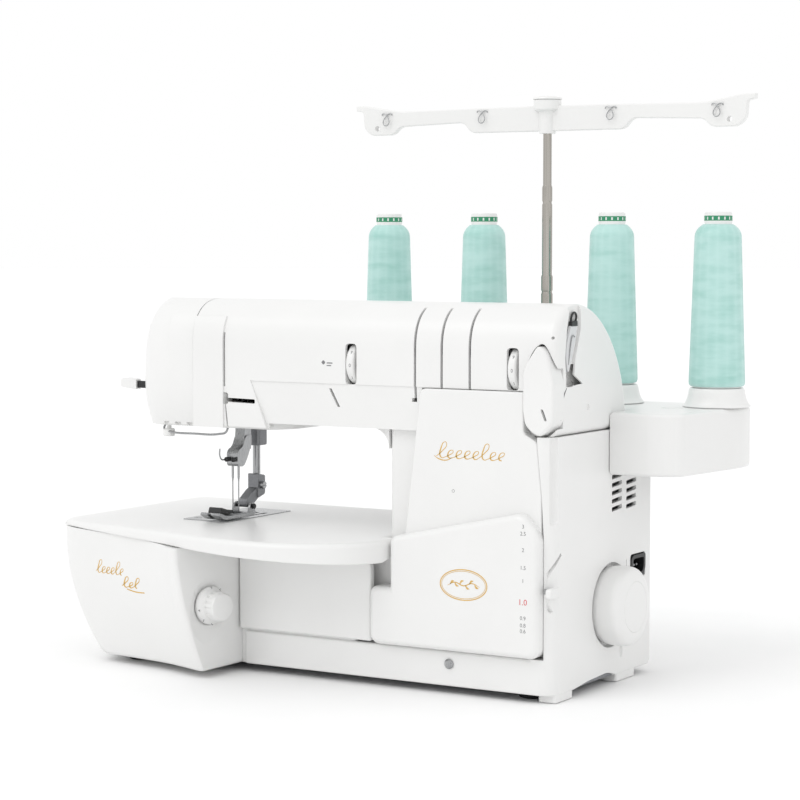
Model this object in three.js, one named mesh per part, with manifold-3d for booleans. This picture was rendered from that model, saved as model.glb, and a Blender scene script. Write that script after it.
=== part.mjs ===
// A four-cone overlock (serger) sewing machine with its telescopic thread stand, in millimetres, +Z up.
// Machine coordinates: X = 0 is the right end of the casing, Y = 0 its front, Z = 0 the table it stands on.
// The exported group is shifted at the end, so that its origin is the middle of its footprint.
import * as THREE from "three";
import { mergeVertices } from "three/addons/utils/BufferGeometryUtils.js";
import Module from "manifold-3d";

const wasm = await Module();
wasm.setup();

// ---- Driving dimensions -------------------------------------------------------------------------
const GAP = 0.3; // clearance between pieces that meet
const WALL = 3; // casing wall
const FOOT_HEIGHT = 6;
const FOOT_RADIUS = 11;
const CASING_BOTTOM = FOOT_HEIGHT + GAP;
const CASING_BACK = 177;
const REAR_COVER_THICKNESS = 6.7;
const CORNER_RADIUS = 12;

const BED_TOP = 118;
const BED_LIP = 104; // underside of the bed plate
const BED_LEFT = -455;
const BASE_LEFT = -425;
const PLINTH_TOP = 34;

const PILLAR_LEFT = -152;
const BED_RIGHT = PILLAR_LEFT - 0.5; // where the bed plate meets the pillar
const PILLAR_FRONT = 12;
const ARM_LEFT = -411;
const ARM_BOTTOM = 204;
const ARM_TOP = 304;
const ARM_BACK = 128;
const HEAD_BOTTOM = 198;
const FACE_COVER_EDGE = -336;
const CREASE_HEIGHT = 238; // top edge of the front cover, bottom edge of the arm's upper front

const SHAFT_Y = 101; // main shaft and handwheel
const SHAFT_Z = 64;
const HANDWHEEL_RADIUS = 31.5;

const NEEDLE_X = -327;
const NEEDLE_Y = 50;
const NEEDLE_BAR_Y = 61;
const PRESSER_BAR_Y = 81;
const NEEDLE_TIP = 123;

const TRAY_BOTTOM = 168;
const TRAY_TOP = 217.5;
const TRAY_FRONT = 95;
const TRAY_BACK = 228;
const TRAY_RIGHT = 69;
const ROD_X = -108;
const ROD_Y = 195;
const CONE_X = [-155.7, -60.6, 60.6, 155.7].map((offset) => ROD_X + offset);
const HOLDER_TOP = 233;
const CONE_HEIGHT = 142;
const ROD_JOINTS = [323, 398]; // tops of the two outer rod tubes
const BAR_BOTTOM = 443.5;
const BAR_TOP = 469.5;

// ---- Finishes -----------------------------------------------------------------------------------
const finish = (color, roughness, metalness = 0) =>
  new THREE.MeshStandardMaterial({ color, roughness, metalness });
const WHITE = finish(0xf4f4f2, 0.3);
const BLACK = finish(0x1b1b1d, 0.45);
const RUBBER = finish(0x2a2a2a, 0.8);
const STEEL = finish(0xa4a6a8, 0.35, 1);
const CHROME = finish(0xb9b6b1, 0.15, 1);
const CASTING = finish(0x8d9093, 0.6, 0.8);
const MINT = finish(0xa8dfd3, 0.9);
const BOARD = finish(0x2f6b45, 0.6);

const machine = new THREE.Group();

// ---- Solids -------------------------------------------------------------------------------------
// A closed three.js geometry as a manifold-3d solid.
function solidOf(geometry) {
  const bare = geometry.clone();
  bare.deleteAttribute("normal");
  bare.deleteAttribute("uv");
  const merged = mergeVertices(bare, 1e-4);
  return new wasm.Manifold(
    new wasm.Mesh({
      numProp: 3,
      vertProperties: merged.attributes.position.array,
      triVerts: new Uint32Array(merged.index.array),
    }),
  );
}

// A manifold-3d solid as a three.js geometry with flat faces.
function geometryOf(solid) {
  const mesh = solid.getMesh();
  const geometry = new THREE.BufferGeometry();
  geometry.setAttribute("position", new THREE.BufferAttribute(mesh.vertProperties.slice(), 3));
  geometry.setIndex(new THREE.BufferAttribute(mesh.triVerts.slice(), 1));
  const flat = geometry.toNonIndexed();
  flat.computeVertexNormals();
  return flat;
}

function join(first, ...others) {
  return others.reduce((sum, other) => sum.add(other), first);
}

function cut(body, ...tools) {
  return tools.reduce((rest, tool) => rest.subtract(tool), body);
}

function addPart(name, solid, material) {
  const mesh = new THREE.Mesh(geometryOf(solid), material);
  mesh.name = name;
  machine.add(mesh);
}

function box([x0, y0, z0], [x1, y1, z1]) {
  const geometry = new THREE.BoxGeometry(x1 - x0, y1 - y0, z1 - z0);
  geometry.translate((x0 + x1) / 2, (y0 + y1) / 2, (z0 + z1) / 2);
  return solidOf(geometry);
}

// A rod, disc or stepped drum: profile rows are [radius, distance along the axis], first to last.
function turned(profile, axis, centre, sides = 20) {
  const points = profile.map(([radius, along]) => new THREE.Vector2(radius, along));
  const geometry = new THREE.LatheGeometry(points, sides);
  if (axis === "x") geometry.rotateZ(-Math.PI / 2);
  if (axis === "z") geometry.rotateX(Math.PI / 2);
  geometry.translate(...centre);
  return solidOf(geometry);
}

function rod(radius, from, to, axis, centre, sides = 12) {
  return turned([[0, from], [radius, from], [radius, to], [0, to]], axis, centre, sides);
}

const EXTRUDE = { bevelEnabled: false, curveSegments: 5 };
const UPRIGHT = new THREE.Matrix4();
const SIDEWAYS = new THREE.Matrix4().makeBasis(
  new THREE.Vector3(0, 1, 0),
  new THREE.Vector3(0, 0, 1),
  new THREE.Vector3(1, 0, 0),
);
const FRONTAL = new THREE.Matrix4().makeBasis(
  new THREE.Vector3(1, 0, 0),
  new THREE.Vector3(0, 0, 1),
  new THREE.Vector3(0, -1, 0),
);

// A drawn outline pushed through a depth, then turned into place; bevel rounds both of its ends.
function extruded(shape, depth, turn, shift, bevel = 0) {
  const options = { ...EXTRUDE, depth: depth - 2 * bevel };
  if (bevel > 0) {
    options.bevelEnabled = true;
    options.bevelThickness = bevel;
    options.bevelSize = bevel;
    options.bevelOffset = -bevel;
    options.bevelSegments = 2;
  }
  const geometry = new THREE.ExtrudeGeometry(shape, options);
  geometry.translate(0, 0, bevel);
  geometry.applyMatrix4(turn);
  geometry.translate(...shift);
  return solidOf(geometry);
}

// Plan outline (X, Y) from z0 up to z1.
const plate = (shape, z0, z1, bevel) => extruded(shape, z1 - z0, UPRIGHT, [0, 0, z0], bevel);
// Side outline (Y, Z) from x0 to x1.
const sidewise = (shape, x0, x1, bevel) => extruded(shape, x1 - x0, SIDEWAYS, [x0, 0, 0], bevel);
// Front outline (X, Z) from y0 back to y1.
const frontal = (shape, y0, y1, bevel) => extruded(shape, y1 - y0, FRONTAL, [0, y1, 0], bevel);

function outline(points) {
  return new THREE.Shape(points.map(([a, b]) => new THREE.Vector2(a, b)));
}

// A rectangle with its own radius at each corner, in the order low-low, high-low, high-high, low-high.
function roundedRectangle(a0, b0, a1, b1, radii) {
  const [r00, r10, r11, r01] = Array.isArray(radii) ? radii : [radii, radii, radii, radii];
  const shape = new THREE.Shape();
  const quarter = Math.PI / 2;
  shape.moveTo(a0 + r00, b0);
  shape.lineTo(a1 - r10, b0);
  if (r10) shape.absarc(a1 - r10, b0 + r10, r10, -quarter, 0, false);
  shape.lineTo(a1, b1 - r11);
  if (r11) shape.absarc(a1 - r11, b1 - r11, r11, 0, quarter, false);
  shape.lineTo(a0 + r01, b1);
  if (r01) shape.absarc(a0 + r01, b1 - r01, r01, quarter, 2 * quarter, false);
  shape.lineTo(a0, b0 + r00);
  if (r00) shape.absarc(a0 + r00, b0 + r00, r00, 2 * quarter, 3 * quarter, false);
  return shape;
}

// A round bar along a bent path.
function bentWire(points, radius, steps = 12, sides = 3) {
  const section = new THREE.Shape();
  section.absarc(0, 0, radius, 0, 2 * Math.PI, false);
  const knots = points.map((point) => new THREE.Vector3(...point));
  const path = new THREE.CatmullRomCurve3(knots, false, "catmullrom", 0.2);
  const options = { steps, extrudePath: path, bevelEnabled: false, curveSegments: sides };
  return solidOf(new THREE.ExtrudeGeometry(section, options));
}

// ---- Feet and base pan --------------------------------------------------------------------------
const FEET = {
  foot_front_left: [-392, 4],
  foot_front_right: [-30, 26],
  foot_rear_left: [-392, 150],
  foot_rear_right: [-30, 150],
};
for (const [name, [x, y]] of Object.entries(FEET)) {
  const rim = FOOT_RADIUS;
  const profile = [[0, 0], [rim - 1, 0], [rim, 1.5], [rim, FOOT_HEIGHT], [0, FOOT_HEIGHT]];
  addPart(name, turned(profile, "z", [x, y, 0]), RUBBER);
}

const PAN_TOP = CASING_BOTTOM + WALL;
const pan = plate(
  roundedRectangle(BASE_LEFT + WALL + GAP, 2 + WALL + GAP, -WALL - GAP, CASING_BACK - 10, CORNER_RADIUS),
  CASING_BOTTOM,
  PAN_TOP,
);
addPart("base_pan", pan, CASTING);

// ---- Lower casing: plinth, base under the bed and pillar, one hollow shell open at the bottom -----
const CASING_REAR = CASING_BACK - REAR_COVER_THICKNESS - GAP;
const PILLAR_FOOT_LEFT = -178; // below the bed the pillar is wider
const baseBody = box([BASE_LEFT, 2, CASING_BOTTOM], [PILLAR_FOOT_LEFT + 1, CASING_REAR, BED_LIP - GAP]);
const pillarFoot = plate(
  roundedRectangle(PILLAR_FOOT_LEFT, PILLAR_FRONT, 0, CASING_REAR, [6, CORNER_RADIUS, 0, 0]),
  CASING_BOTTOM,
  BED_LIP - GAP,
);
const plinthBody = plate(
  roundedRectangle(-284, 0, 0, CASING_REAR, [0, CORNER_RADIUS, 0, 0]),
  CASING_BOTTOM,
  PLINTH_TOP,
);
const pillarBody = plate(
  roundedRectangle(PILLAR_LEFT, PILLAR_FRONT, 0, CASING_REAR, [6, CORNER_RADIUS, 0, 0]),
  CASING_BOTTOM,
  ARM_BOTTOM - GAP,
);
// The right front corner stands further forward than the rest of the pillar, beside the front cover.
const cornerBody = plate(
  roundedRectangle(-22, 0, 0, PILLAR_FRONT + 20, [4, CORNER_RADIUS, 0, 0]),
  PLINTH_TOP - 1,
  ARM_BOTTOM - GAP,
);
// The front cover and its right edge are let into the corner.
const COVER_RIGHT = [[-8.2, 40], [-8.2, 125], [-10, 160], [-14, 200]];
const coverRecess = frontal(
  outline([
    [-40, PLINTH_TOP], [-7.9, PLINTH_TOP], ...COVER_RIGHT.map(([x, z]) => [x + GAP, z]), [-14, 215], [-40, 215],
  ]),
  -5,
  PILLAR_FRONT,
);
const baseHollow = box(
  [BASE_LEFT + WALL, 2 + WALL, CASING_BOTTOM - 1],
  [PILLAR_FOOT_LEFT + WALL + 1, CASING_REAR + 1, BED_LIP - GAP - WALL],
);
const footHollow = box(
  [PILLAR_FOOT_LEFT + WALL, PILLAR_FRONT + WALL, CASING_BOTTOM - 1],
  [-WALL, CASING_REAR + 1, BED_LIP - GAP - WALL],
);
const plinthHollow = box([-281, WALL, CASING_BOTTOM - 1], [-WALL, CASING_REAR + 1, PLINTH_TOP - WALL]);
const pillarHollow = box(
  [PILLAR_LEFT + WALL, PILLAR_FRONT + WALL, CASING_BOTTOM - 1],
  [-WALL, CASING_REAR + 1, ARM_BOTTOM - GAP - WALL],
);
const shaftHole = rod(7, -10, 10, "x", [0, SHAFT_Y, SHAFT_Z]);

const LEVER_Y = 34; // pivot of the differential feed lever
const LEVER_Z = 87;
const LEVER_RADIUS = 34;
const LEVER_SWEEP = [2.2, 3.65]; // ends of the slot, as angles about the pivot
function leverSector(innerRadius) {
  const shape = new THREE.Shape();
  const [high, low] = LEVER_SWEEP;
  shape.absarc(LEVER_Y, LEVER_Z, LEVER_RADIUS + 2.2, high, low, false);
  shape.absarc(LEVER_Y, LEVER_Z, innerRadius, low, high, true);
  return shape;
}
const sideSlot = join(
  sidewise(leverSector(LEVER_RADIUS - 2.2), -4, 8),
  sidewise(leverSector(6), -7, -3.4),
  rod(10, -7, -3.4, "x", [0, LEVER_Y, LEVER_Z]),
);

const vents = [];
for (const [y, rows] of [[101, 5], [127, 4]]) {
  for (let row = 0; row < rows; row += 1) {
    const z = 138 + 6.4 * row;
    vents.push(sidewise(outline([[y, z], [y + 18, z + 1.5], [y + 18, z + 5], [y, z + 3.5]]), -6, 2));
  }
}
const inletHole = sidewise(roundedRectangle(135, 80, 163, 100, 3), -30, 2);
const needleOpening = box([NEEDLE_X - 34, 24, BED_LIP - 10], [NEEDLE_X + 10, 116, BED_LIP + 5]);
const channel = sidewise(roundedRectangle(-3, 136, 10, 203, 2), -5, 2);
const lowerCasing = cut(
  cut(
    join(baseBody, plinthBody, pillarFoot, pillarBody, cornerBody),
    baseHollow,
    footHollow,
    plinthHollow,
    pillarHollow,
    coverRecess,
  ),
  shaftHole,
  sideSlot,
  inletHole,
  needleOpening,
  channel,
  ...vents,
);
addPart("lower_casing", lowerCasing, WHITE);

const rearOutline = outline([
  [BASE_LEFT, CASING_BOTTOM],
  [-1, CASING_BOTTOM],
  [-1, TRAY_BOTTOM - 1],
  [PILLAR_LEFT, TRAY_BOTTOM - 1],
  [PILLAR_LEFT, BED_LIP - GAP],
  [BASE_LEFT, BED_LIP - GAP],
]);
addPart("rear_cover", frontal(rearOutline, CASING_BACK - REAR_COVER_THICKNESS, CASING_BACK, 2), WHITE);

// ---- Bed plate with its bulging front, and the front housing below its left half ------------------
// Front edge of the bed, left to right, as a smooth curve.
function bedFront(shape) {
  const edge = [
    [-446, -30], [-405, -40], [-335, -54], [-285, -68], [-240, -72], [-190, -63], [-156, -42], [-142, -18],
  ];
  shape.splineThru(edge.map(([x, y]) => new THREE.Vector2(x, y)));
}
const bedShape = new THREE.Shape();
bedShape.moveTo(BED_LEFT, 168);
bedShape.lineTo(BED_LEFT, -16);
bedFront(bedShape);
bedShape.lineTo(-141, 1);
bedShape.lineTo(-141, 11.5);
bedShape.lineTo(BED_RIGHT, 11.5);
bedShape.lineTo(BED_RIGHT, 176);
bedShape.lineTo(BED_LEFT + 8, 176);
const PLATE_LOW = [-362, 22];
const PLATE_HIGH = [-316, 118];
const plateSeat = box(
  [PLATE_LOW[0] - GAP, PLATE_LOW[1] - GAP, BED_TOP - 2],
  [PLATE_HIGH[0] + GAP, PLATE_HIGH[1] + GAP, BED_TOP + 2],
);
const plateOpening = box(
  [PLATE_LOW[0] + 6, PLATE_LOW[1] + 5, BED_LIP - 2],
  [PLATE_HIGH[0] - 4, PLATE_HIGH[1] - 5, BED_TOP],
);
addPart("bed_plate", cut(plate(bedShape, BED_LIP, BED_TOP, 3), plateSeat, plateOpening), WHITE);

const HOUSING_TOP = BED_LIP - GAP;
const HOUSING_RIGHT = -287;
const HOUSING_FRONT = -68;
const DIAL_TILT = THREE.MathUtils.degToRad(14); // the dial and the housing's right side face a little forward
const housingShape = new THREE.Shape();
housingShape.moveTo(BASE_LEFT - 24, 1.7);
housingShape.lineTo(BASE_LEFT - 26, -14);
housingShape.quadraticCurveTo(BASE_LEFT - 22, -34, -405, -38);
housingShape.quadraticCurveTo(-360, -46, -310, HOUSING_FRONT);
housingShape.lineTo(-304, HOUSING_FRONT);
housingShape.lineTo(HOUSING_RIGHT, 1.7);
const housingHeight = HOUSING_TOP - CASING_BOTTOM;
const housingGeometry = new THREE.ExtrudeGeometry(housingShape, { ...EXTRUDE, depth: housingHeight, steps: 6 });
// Towards the table the housing's left end and front draw in, and its front right corner moves right.
const housingPositions = housingGeometry.attributes.position;
for (let i = 0; i < housingPositions.count; i += 1) {
  const x = housingPositions.getX(i);
  const y = housingPositions.getY(i);
  const low = 1 - housingPositions.getZ(i) / housingHeight;
  const leftness = Math.max(0, (HOUSING_RIGHT - x) / 166);
  const cornerness = Math.max(0, (x + 330) / 26) * Math.max(0, y / HOUSING_FRONT);
  housingPositions.setX(i, x + 34 * low ** 2 * leftness + 12 * low * cornerness);
  housingPositions.setY(i, y + 16 * low ** 2 * Math.max(0, (1.7 - y) / 66));
}
housingGeometry.translate(0, 0, CASING_BOTTOM);
const DIAL_PLACE = [-292.6, -34.7, 58];
// A piece turned about X and centred on 0, turned to face the way the dial faces and put in its place.
function onDialAxis(solid) {
  const matrix = new THREE.Matrix4().makeRotationZ(-DIAL_TILT).setPosition(...DIAL_PLACE);
  return solid.transform(matrix.elements);
}
const housingHollow = box([-440, -20, 10], [-302, 0, 96]);
const housingDrain = box([-420, -12, 0], [-320, -4, 20]);
const dialBore = onDialAxis(join(rod(5, -22, 5, "x", [0, 0, 0]), rod(16.5, 0, 20, "x", [0, 0, 0])));
addPart(
  "bed_front_housing",
  cut(solidOf(housingGeometry), housingHollow, housingDrain, dialBore),
  WHITE,
);

const looperPanel = frontal(
  roundedRectangle(HOUSING_RIGHT + 1, PLINTH_TOP + 1.4, -159.6, BED_LIP - GAP, [0, 0, 10, 0]),
  -4,
  1.7,
);
addPart("looper_cover_panel", looperPanel, WHITE);

// ---- Arm, face cover and threading port cover -----------------------------------------------------
function armProfile(inset) {
  const shape = new THREE.Shape();
  const front = 3 + inset;
  const top = ARM_TOP - inset;
  const back = ARM_BACK - inset;
  shape.moveTo(front + 3, ARM_BOTTOM + inset);
  shape.lineTo(front, CREASE_HEIGHT);
  shape.lineTo(front, 268);
  shape.bezierCurveTo(front, 292, 18 + inset, top, 42, top);
  shape.bezierCurveTo(84, top, back, 262, back, ARM_BOTTOM + inset);
  return shape;
}
// The head's front left corner is rounded far more than its other edges.
const HEAD_CORNER = 50;
function outsideHeadCorner(radius) {
  const centre = [ARM_LEFT + HEAD_CORNER, 3 + HEAD_CORNER, 0];
  return cut(
    box([ARM_LEFT - 1, -1, HEAD_BOTTOM - 5], [centre[0], centre[1], ARM_TOP + 5]),
    rod(radius, HEAD_BOTTOM - 6, ARM_TOP + 6, "z", centre, 64),
  );
}
const armBlank = cut(
  join(
    sidewise(armProfile(0), ARM_LEFT, 0, 14),
    frontal(roundedRectangle(-399, HEAD_BOTTOM, -268, ARM_BOTTOM + 8, [4, 5, 0, 0]), 10, 116),
  ),
  outsideHeadCorner(HEAD_CORNER),
);
const armHollow = cut(
  sidewise(armProfile(WALL), ARM_LEFT + 14, -14),
  outsideHeadCorner(HEAD_CORNER - WALL),
);
const pillarPassage = box([PILLAR_LEFT + 8, 20, ARM_BOTTOM - 5], [-20, 120, ARM_BOTTOM + 8]);
const barOpening = box(
  [NEEDLE_X - 12, NEEDLE_Y - 4, HEAD_BOTTOM - 5],
  [NEEDLE_X + 12, PRESSER_BAR_Y + 12, ARM_BOTTOM + 8],
);

const DIALS = { tension_dial_left: -182, tension_dial_right: -36.4 };
const DIAL_CENTRE_Y = 17;
const DIAL_CENTRE_Z = 254.5;
const TENSION_RADIUS = 17;
const TENSION_WIDTH = 7;
const dialSlotHalf = TENSION_WIDTH / 2 + 1;
const dialSlots = Object.values(DIALS).map((x) =>
  box([x - dialSlotHalf, -5, DIAL_CENTRE_Z - 16], [x + dialSlotHalf, 12, DIAL_CENTRE_Z + 16]),
);
const THREAD_SLOT_X = [-123, -99, -74];
const threadSlots = THREAD_SLOT_X.map((x) => box([x - 1, -2, CREASE_HEIGHT + 2], [x + 1, 22, ARM_TOP + 2]));

// The port cover is a thumb-shaped shell let into the right front corner.
function portOutline(grow) {
  const shape = new THREE.Shape();
  shape.moveTo(-25 - grow, 214);
  shape.lineTo(-25 - grow, 258);
  shape.quadraticCurveTo(-21 - grow, 272 + grow, -12, 273 + grow);
  shape.quadraticCurveTo(-4, 272 + grow, 1 + grow, 246);
  shape.lineTo(1 + grow, 214);
  shape.quadraticCurveTo(0 + grow, 206 - grow, -12, 205 - grow);
  shape.quadraticCurveTo(-24 - grow, 205 - grow, -25 - grow, 214);
  return shape;
}
const portCut = frontal(portOutline(GAP), -10, 16);
const portCover = cut(frontal(portOutline(0), -6, 15.7, 2), box([-22, 1, 210], [-3, 20, 264]));
const TAKE_UP_X = [-7.5, -4.5];
const takeUpSlot = box([TAKE_UP_X[0] - 1.5, 12.5, 236], [TAKE_UP_X[1] + 1.5, 62, ARM_TOP + 2]);
const coverTopRecess = frontal(
  outline([[-131.5, 190], [-14, 190], [-14, 205], [-21, 212], [-25, 216], [-25, 238], [-124.4, 238]]),
  -5,
  10.4,
);
const armOpenings = [pillarPassage, barOpening, portCut, takeUpSlot, coverTopRecess];
const armFull = cut(armBlank, armHollow, ...armOpenings, ...dialSlots, ...threadSlots);
const leftOfEdge = box([ARM_LEFT - 5, -20, HEAD_BOTTOM - 5], [FACE_COVER_EDGE, 140, ARM_TOP + 5]);
const leftOfEdgeGrown = box([ARM_LEFT - 5, -20, HEAD_BOTTOM - 5], [FACE_COVER_EDGE + GAP, 140, ARM_TOP + 5]);
const LIFTER_Y = 40;
const LIFTER_Z = 229;
const lifterSlot = box(
  [ARM_LEFT - 5, LIFTER_Y - 5, LIFTER_Z - 8],
  [ARM_LEFT + 20, LIFTER_Y + 5, LIFTER_Z + 32],
);
addPart("arm_casing", cut(armFull, leftOfEdgeGrown), WHITE);
addPart("face_cover", cut(armFull.intersect(leftOfEdge), lifterSlot), WHITE);
addPart("threading_port_cover", portCover, WHITE);

// ---- Front cover: a hinged door with a fuller lower half -------------------------------------------
const coverUpper = frontal(
  outline([[-124, 237.6], [-140, 118], ...COVER_RIGHT.slice(1), [-25.6, 206], [-25.6, 237.6]].reverse()),
  0,
  10,
  1.5,
);
const coverLower = frontal(
  outline([
    [-158.6, 80], [-139, 80], [-139, 118], [-22, 143], [-8.3, 125], [-8.3, 42], [-14, 35], [-152, 35],
    [-158.6, 42],
  ]),
  -9,
  10,
  2,
);
addPart("front_cover", join(coverUpper, coverLower), WHITE);

// ---- Controls ---------------------------------------------------------------------------------------
const rimRadius = HANDWHEEL_RADIUS;
const wheelProfile = [[0, 1], [26, 1], [rimRadius, 2], [rimRadius, 14], [27, 19], [14, 21], [0, 21.5]];
addPart("handwheel", turned(wheelProfile, "x", [0, SHAFT_Y, SHAFT_Z], 28), WHITE);

for (const [name, x] of Object.entries(DIALS)) {
  const half = TENSION_WIDTH / 2;
  const rim = TENSION_RADIUS;
  const wheel = [[0, -half], [rim - 1, -half], [rim, 1 - half], [rim, half - 1], [rim - 1, half], [0, half]];
  addPart(name, turned(wheel, "x", [x, DIAL_CENTRE_Y, DIAL_CENTRE_Z], 24), WHITE);
}

const dialProfile = [
  [0, -14], [4, -14], [4, 0], [15.5, 0], [15.5, 3.5], [12.5, 5], [11.5, 14], [10, 15.5], [0, 16],
].map(([radius, along]) => [radius, along + GAP]);
addPart("stitch_length_dial", onDialAxis(turned(dialProfile, "x", [0, 0, 0], 24)), WHITE);

const slotY = LEVER_Y - LEVER_RADIUS;
const leverArm = box([-6.6, slotY - 1.5, LEVER_Z - 2], [-3.8, LEVER_Y, LEVER_Z + 2]);
const leverStem = box([-6.6, slotY - 1.5, LEVER_Z - 2], [2, slotY + 1.5, LEVER_Z + 2]);
const leverKnob = box([0.6, slotY - 13, LEVER_Z - 4], [4.6, slotY + 2, LEVER_Z + 4]);
const leverHub = rod(6, -6.6, -3.8, "x", [0, LEVER_Y, LEVER_Z]);
addPart("differential_feed_lever", join(leverArm, leverStem, leverKnob, leverHub), WHITE);

const takeUp = sidewise(
  outline([
    [44, 246], [48, 250], [44, 254], [32, 258], [30, 272], [28, 294], [23, 296], [22, 288], [24, 272],
    [25, 254],
  ]),
  ...TAKE_UP_X,
);
addPart("take_up_lever", takeUp, STEEL);

const lifterBar = box([ARM_LEFT - 27, LIFTER_Y - 2, LIFTER_Z - 3], [ARM_LEFT + 40, LIFTER_Y + 2, LIFTER_Z + 3]);
addPart("presser_lifter", lifterBar, BLACK);

const inletBody = cut(
  sidewise(roundedRectangle(135.6, 80.6, 162.4, 99.4, 2.5), -24, 1),
  sidewise(roundedRectangle(138.6, 83.6, 159.4, 96.4, 1), -18, 3),
);
const inletPins = [143, 149, 155].map((y) => rod(1.2, -20, -3, "x", [0, y, 90], 8));
addPart("power_inlet", join(inletBody, ...inletPins), BLACK);
const screwHead = turned([[0, -2.5], [2.5, -2.5], [4, -1], [4, -GAP], [0, -GAP]], "y", [-90, 0, 24], 16);
addPart("base_screw", screwHead, STEEL);

// ---- Needle bar, presser bar and what they carry ---------------------------------------------------
addPart("needle_bar", rod(3.6, 176, 282, "z", [NEEDLE_X, NEEDLE_BAR_Y, 0]), STEEL);
const clampBody = box([NEEDLE_X - 7, NEEDLE_Y - 5, 163], [NEEDLE_X + 7, NEEDLE_BAR_Y + 5, 175.7]);
const clampScrews = [-3.5, 3.5].map((x) =>
  rod(1.8, NEEDLE_Y - 9, NEEDLE_Y - 4, "y", [NEEDLE_X + x, 0, 169], 8),
);
const NEEDLES = { needle_left: -3, needle_right: 3 };
const shankHoles = Object.values(NEEDLES).map((x) => rod(1.4, 160, 173, "z", [NEEDLE_X + x, NEEDLE_Y, 0], 12));
addPart("needle_clamp", cut(join(clampBody, ...clampScrews), ...shankHoles), STEEL);
for (const [name, x] of Object.entries(NEEDLES)) {
  const tip = NEEDLE_TIP;
  const needle = [[0, tip], [0.5, tip + 4], [0.5, tip + 26], [1, tip + 30], [1, 172.6], [0, 172.6]];
  addPart(name, turned(needle, "z", [NEEDLE_X + x, NEEDLE_Y, 0], 10), STEEL);
}

addPart("presser_bar", rod(3.2, 148, 276, "z", [NEEDLE_X, PRESSER_BAR_Y, 0]), STEEL);
const guideBlock = cut(
  box([NEEDLE_X - 7, PRESSER_BAR_Y - 7, 178], [NEEDLE_X + 7, PRESSER_BAR_Y + 7, 212]),
  rod(3.5, 170, 220, "z", [NEEDLE_X, PRESSER_BAR_Y, 0]),
);
addPart("presser_bar_guide", guideBlock, STEEL);
const ankle = box([NEEDLE_X - 4, PRESSER_BAR_Y - 14, 127], [NEEDLE_X + 4, PRESSER_BAR_Y + 5, 147.7]);
const ankleFoot = box([NEEDLE_X - 6, 60, 127], [NEEDLE_X + 6, PRESSER_BAR_Y - 6, 133]);
addPart("presser_ankle", join(ankle, ankleFoot), STEEL);
const SOLE_BOTTOM = 119.6;
const sole = SOLE_BOTTOM;
const soleSide = outline([
  [14, sole + 3], [20, sole], [60, sole], [66, sole + 2.2], [66, 125.6], [30, 125.6], [14, 123.4],
]);
const soleSlot = box([NEEDLE_X - 5, 42, 110], [NEEDLE_X + 5, 56, 130]);
addPart("presser_foot", cut(sidewise(soleSide, NEEDLE_X - 10, NEEDLE_X + 10), soleSlot), STEEL);

const plateSlots = [
  box([NEEDLE_X - 5, NEEDLE_Y - 2, 110], [NEEDLE_X + 5, NEEDLE_Y + 2, 125]),
  box([NEEDLE_X - 8, 60, 110], [NEEDLE_X - 4, 92, 125]),
  box([NEEDLE_X + 0.5, 60, 110], [NEEDLE_X + 4.5, 92, 125]),
];
addPart(
  "needle_plate",
  cut(box([...PLATE_LOW, BED_TOP - 1.7], [...PLATE_HIGH, BED_TOP + 0.5]), ...plateSlots),
  STEEL,
);
const dogBase = box([NEEDLE_X - 7.5, 60, 106], [NEEDLE_X + 4, 94, 111]);
const dogRails = [-6, 2.5].map((x) =>
  box([NEEDLE_X + x - 1.4, 66, 110], [NEEDLE_X + x + 1.4, 86, BED_TOP + 0.2]),
);
addPart("feed_dog", join(dogBase, ...dogRails), STEEL);

const headWire = bentWire(
  [[-378, 20, 197.5], [-377, 18, 193], [-345, 16, 191.5], [-314, 16, 193], [-312, 18, 197.5]],
  0.9,
);
addPart("head_thread_guide", headWire, STEEL);

// ---- Thread stand -----------------------------------------------------------------------------------
const trayShape = new THREE.Shape();
const TRAY_LEFT = 2 * ROD_X - TRAY_RIGHT;
trayShape.moveTo(TRAY_LEFT + 10, ARM_BACK + 3);
trayShape.lineTo(0.6, ARM_BACK + 3);
trayShape.lineTo(0.6, TRAY_FRONT);
trayShape.lineTo(36, TRAY_FRONT);
trayShape.quadraticCurveTo(52, TRAY_FRONT, 56, TRAY_FRONT + 18);
trayShape.lineTo(TRAY_RIGHT, TRAY_BACK - 22);
trayShape.quadraticCurveTo(TRAY_RIGHT + 2, TRAY_BACK, TRAY_RIGHT - 18, TRAY_BACK);
trayShape.lineTo(TRAY_LEFT + 18, TRAY_BACK);
trayShape.quadraticCurveTo(TRAY_LEFT - 2, TRAY_BACK, TRAY_LEFT, TRAY_BACK - 22);
const trayBlank = plate(trayShape, TRAY_BOTTOM, TRAY_TOP, 2);
// Behind the arm the tray is a shallow shelf; its lower half hangs down only past the pillar's right side.
const underShelf = box([TRAY_LEFT - 5, 0, TRAY_BOTTOM - 5], [PILLAR_LEFT, 240, 202]);
const pillarRoom = box([PILLAR_LEFT - 1, 0, TRAY_BOTTOM - 5], [GAP, CASING_BACK + GAP, ARM_BOTTOM + GAP]);
const trayHollow = box([3, TRAY_FRONT + 4, TRAY_BOTTOM - 5], [48, TRAY_BACK - 6, TRAY_TOP - 4]);
const trayHollowLeft = box([PILLAR_LEFT + 4, CASING_BACK + 4, TRAY_BOTTOM - 5], [-3, TRAY_BACK - 5, 200]);
const rodSocket = rod(4.8, 205, TRAY_TOP + 5, "z", [ROD_X, ROD_Y, 0]);
addPart(
  "spool_tray",
  cut(trayBlank, underShelf, pillarRoom, trayHollow, trayHollowLeft, rodSocket),
  WHITE,
);

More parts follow.
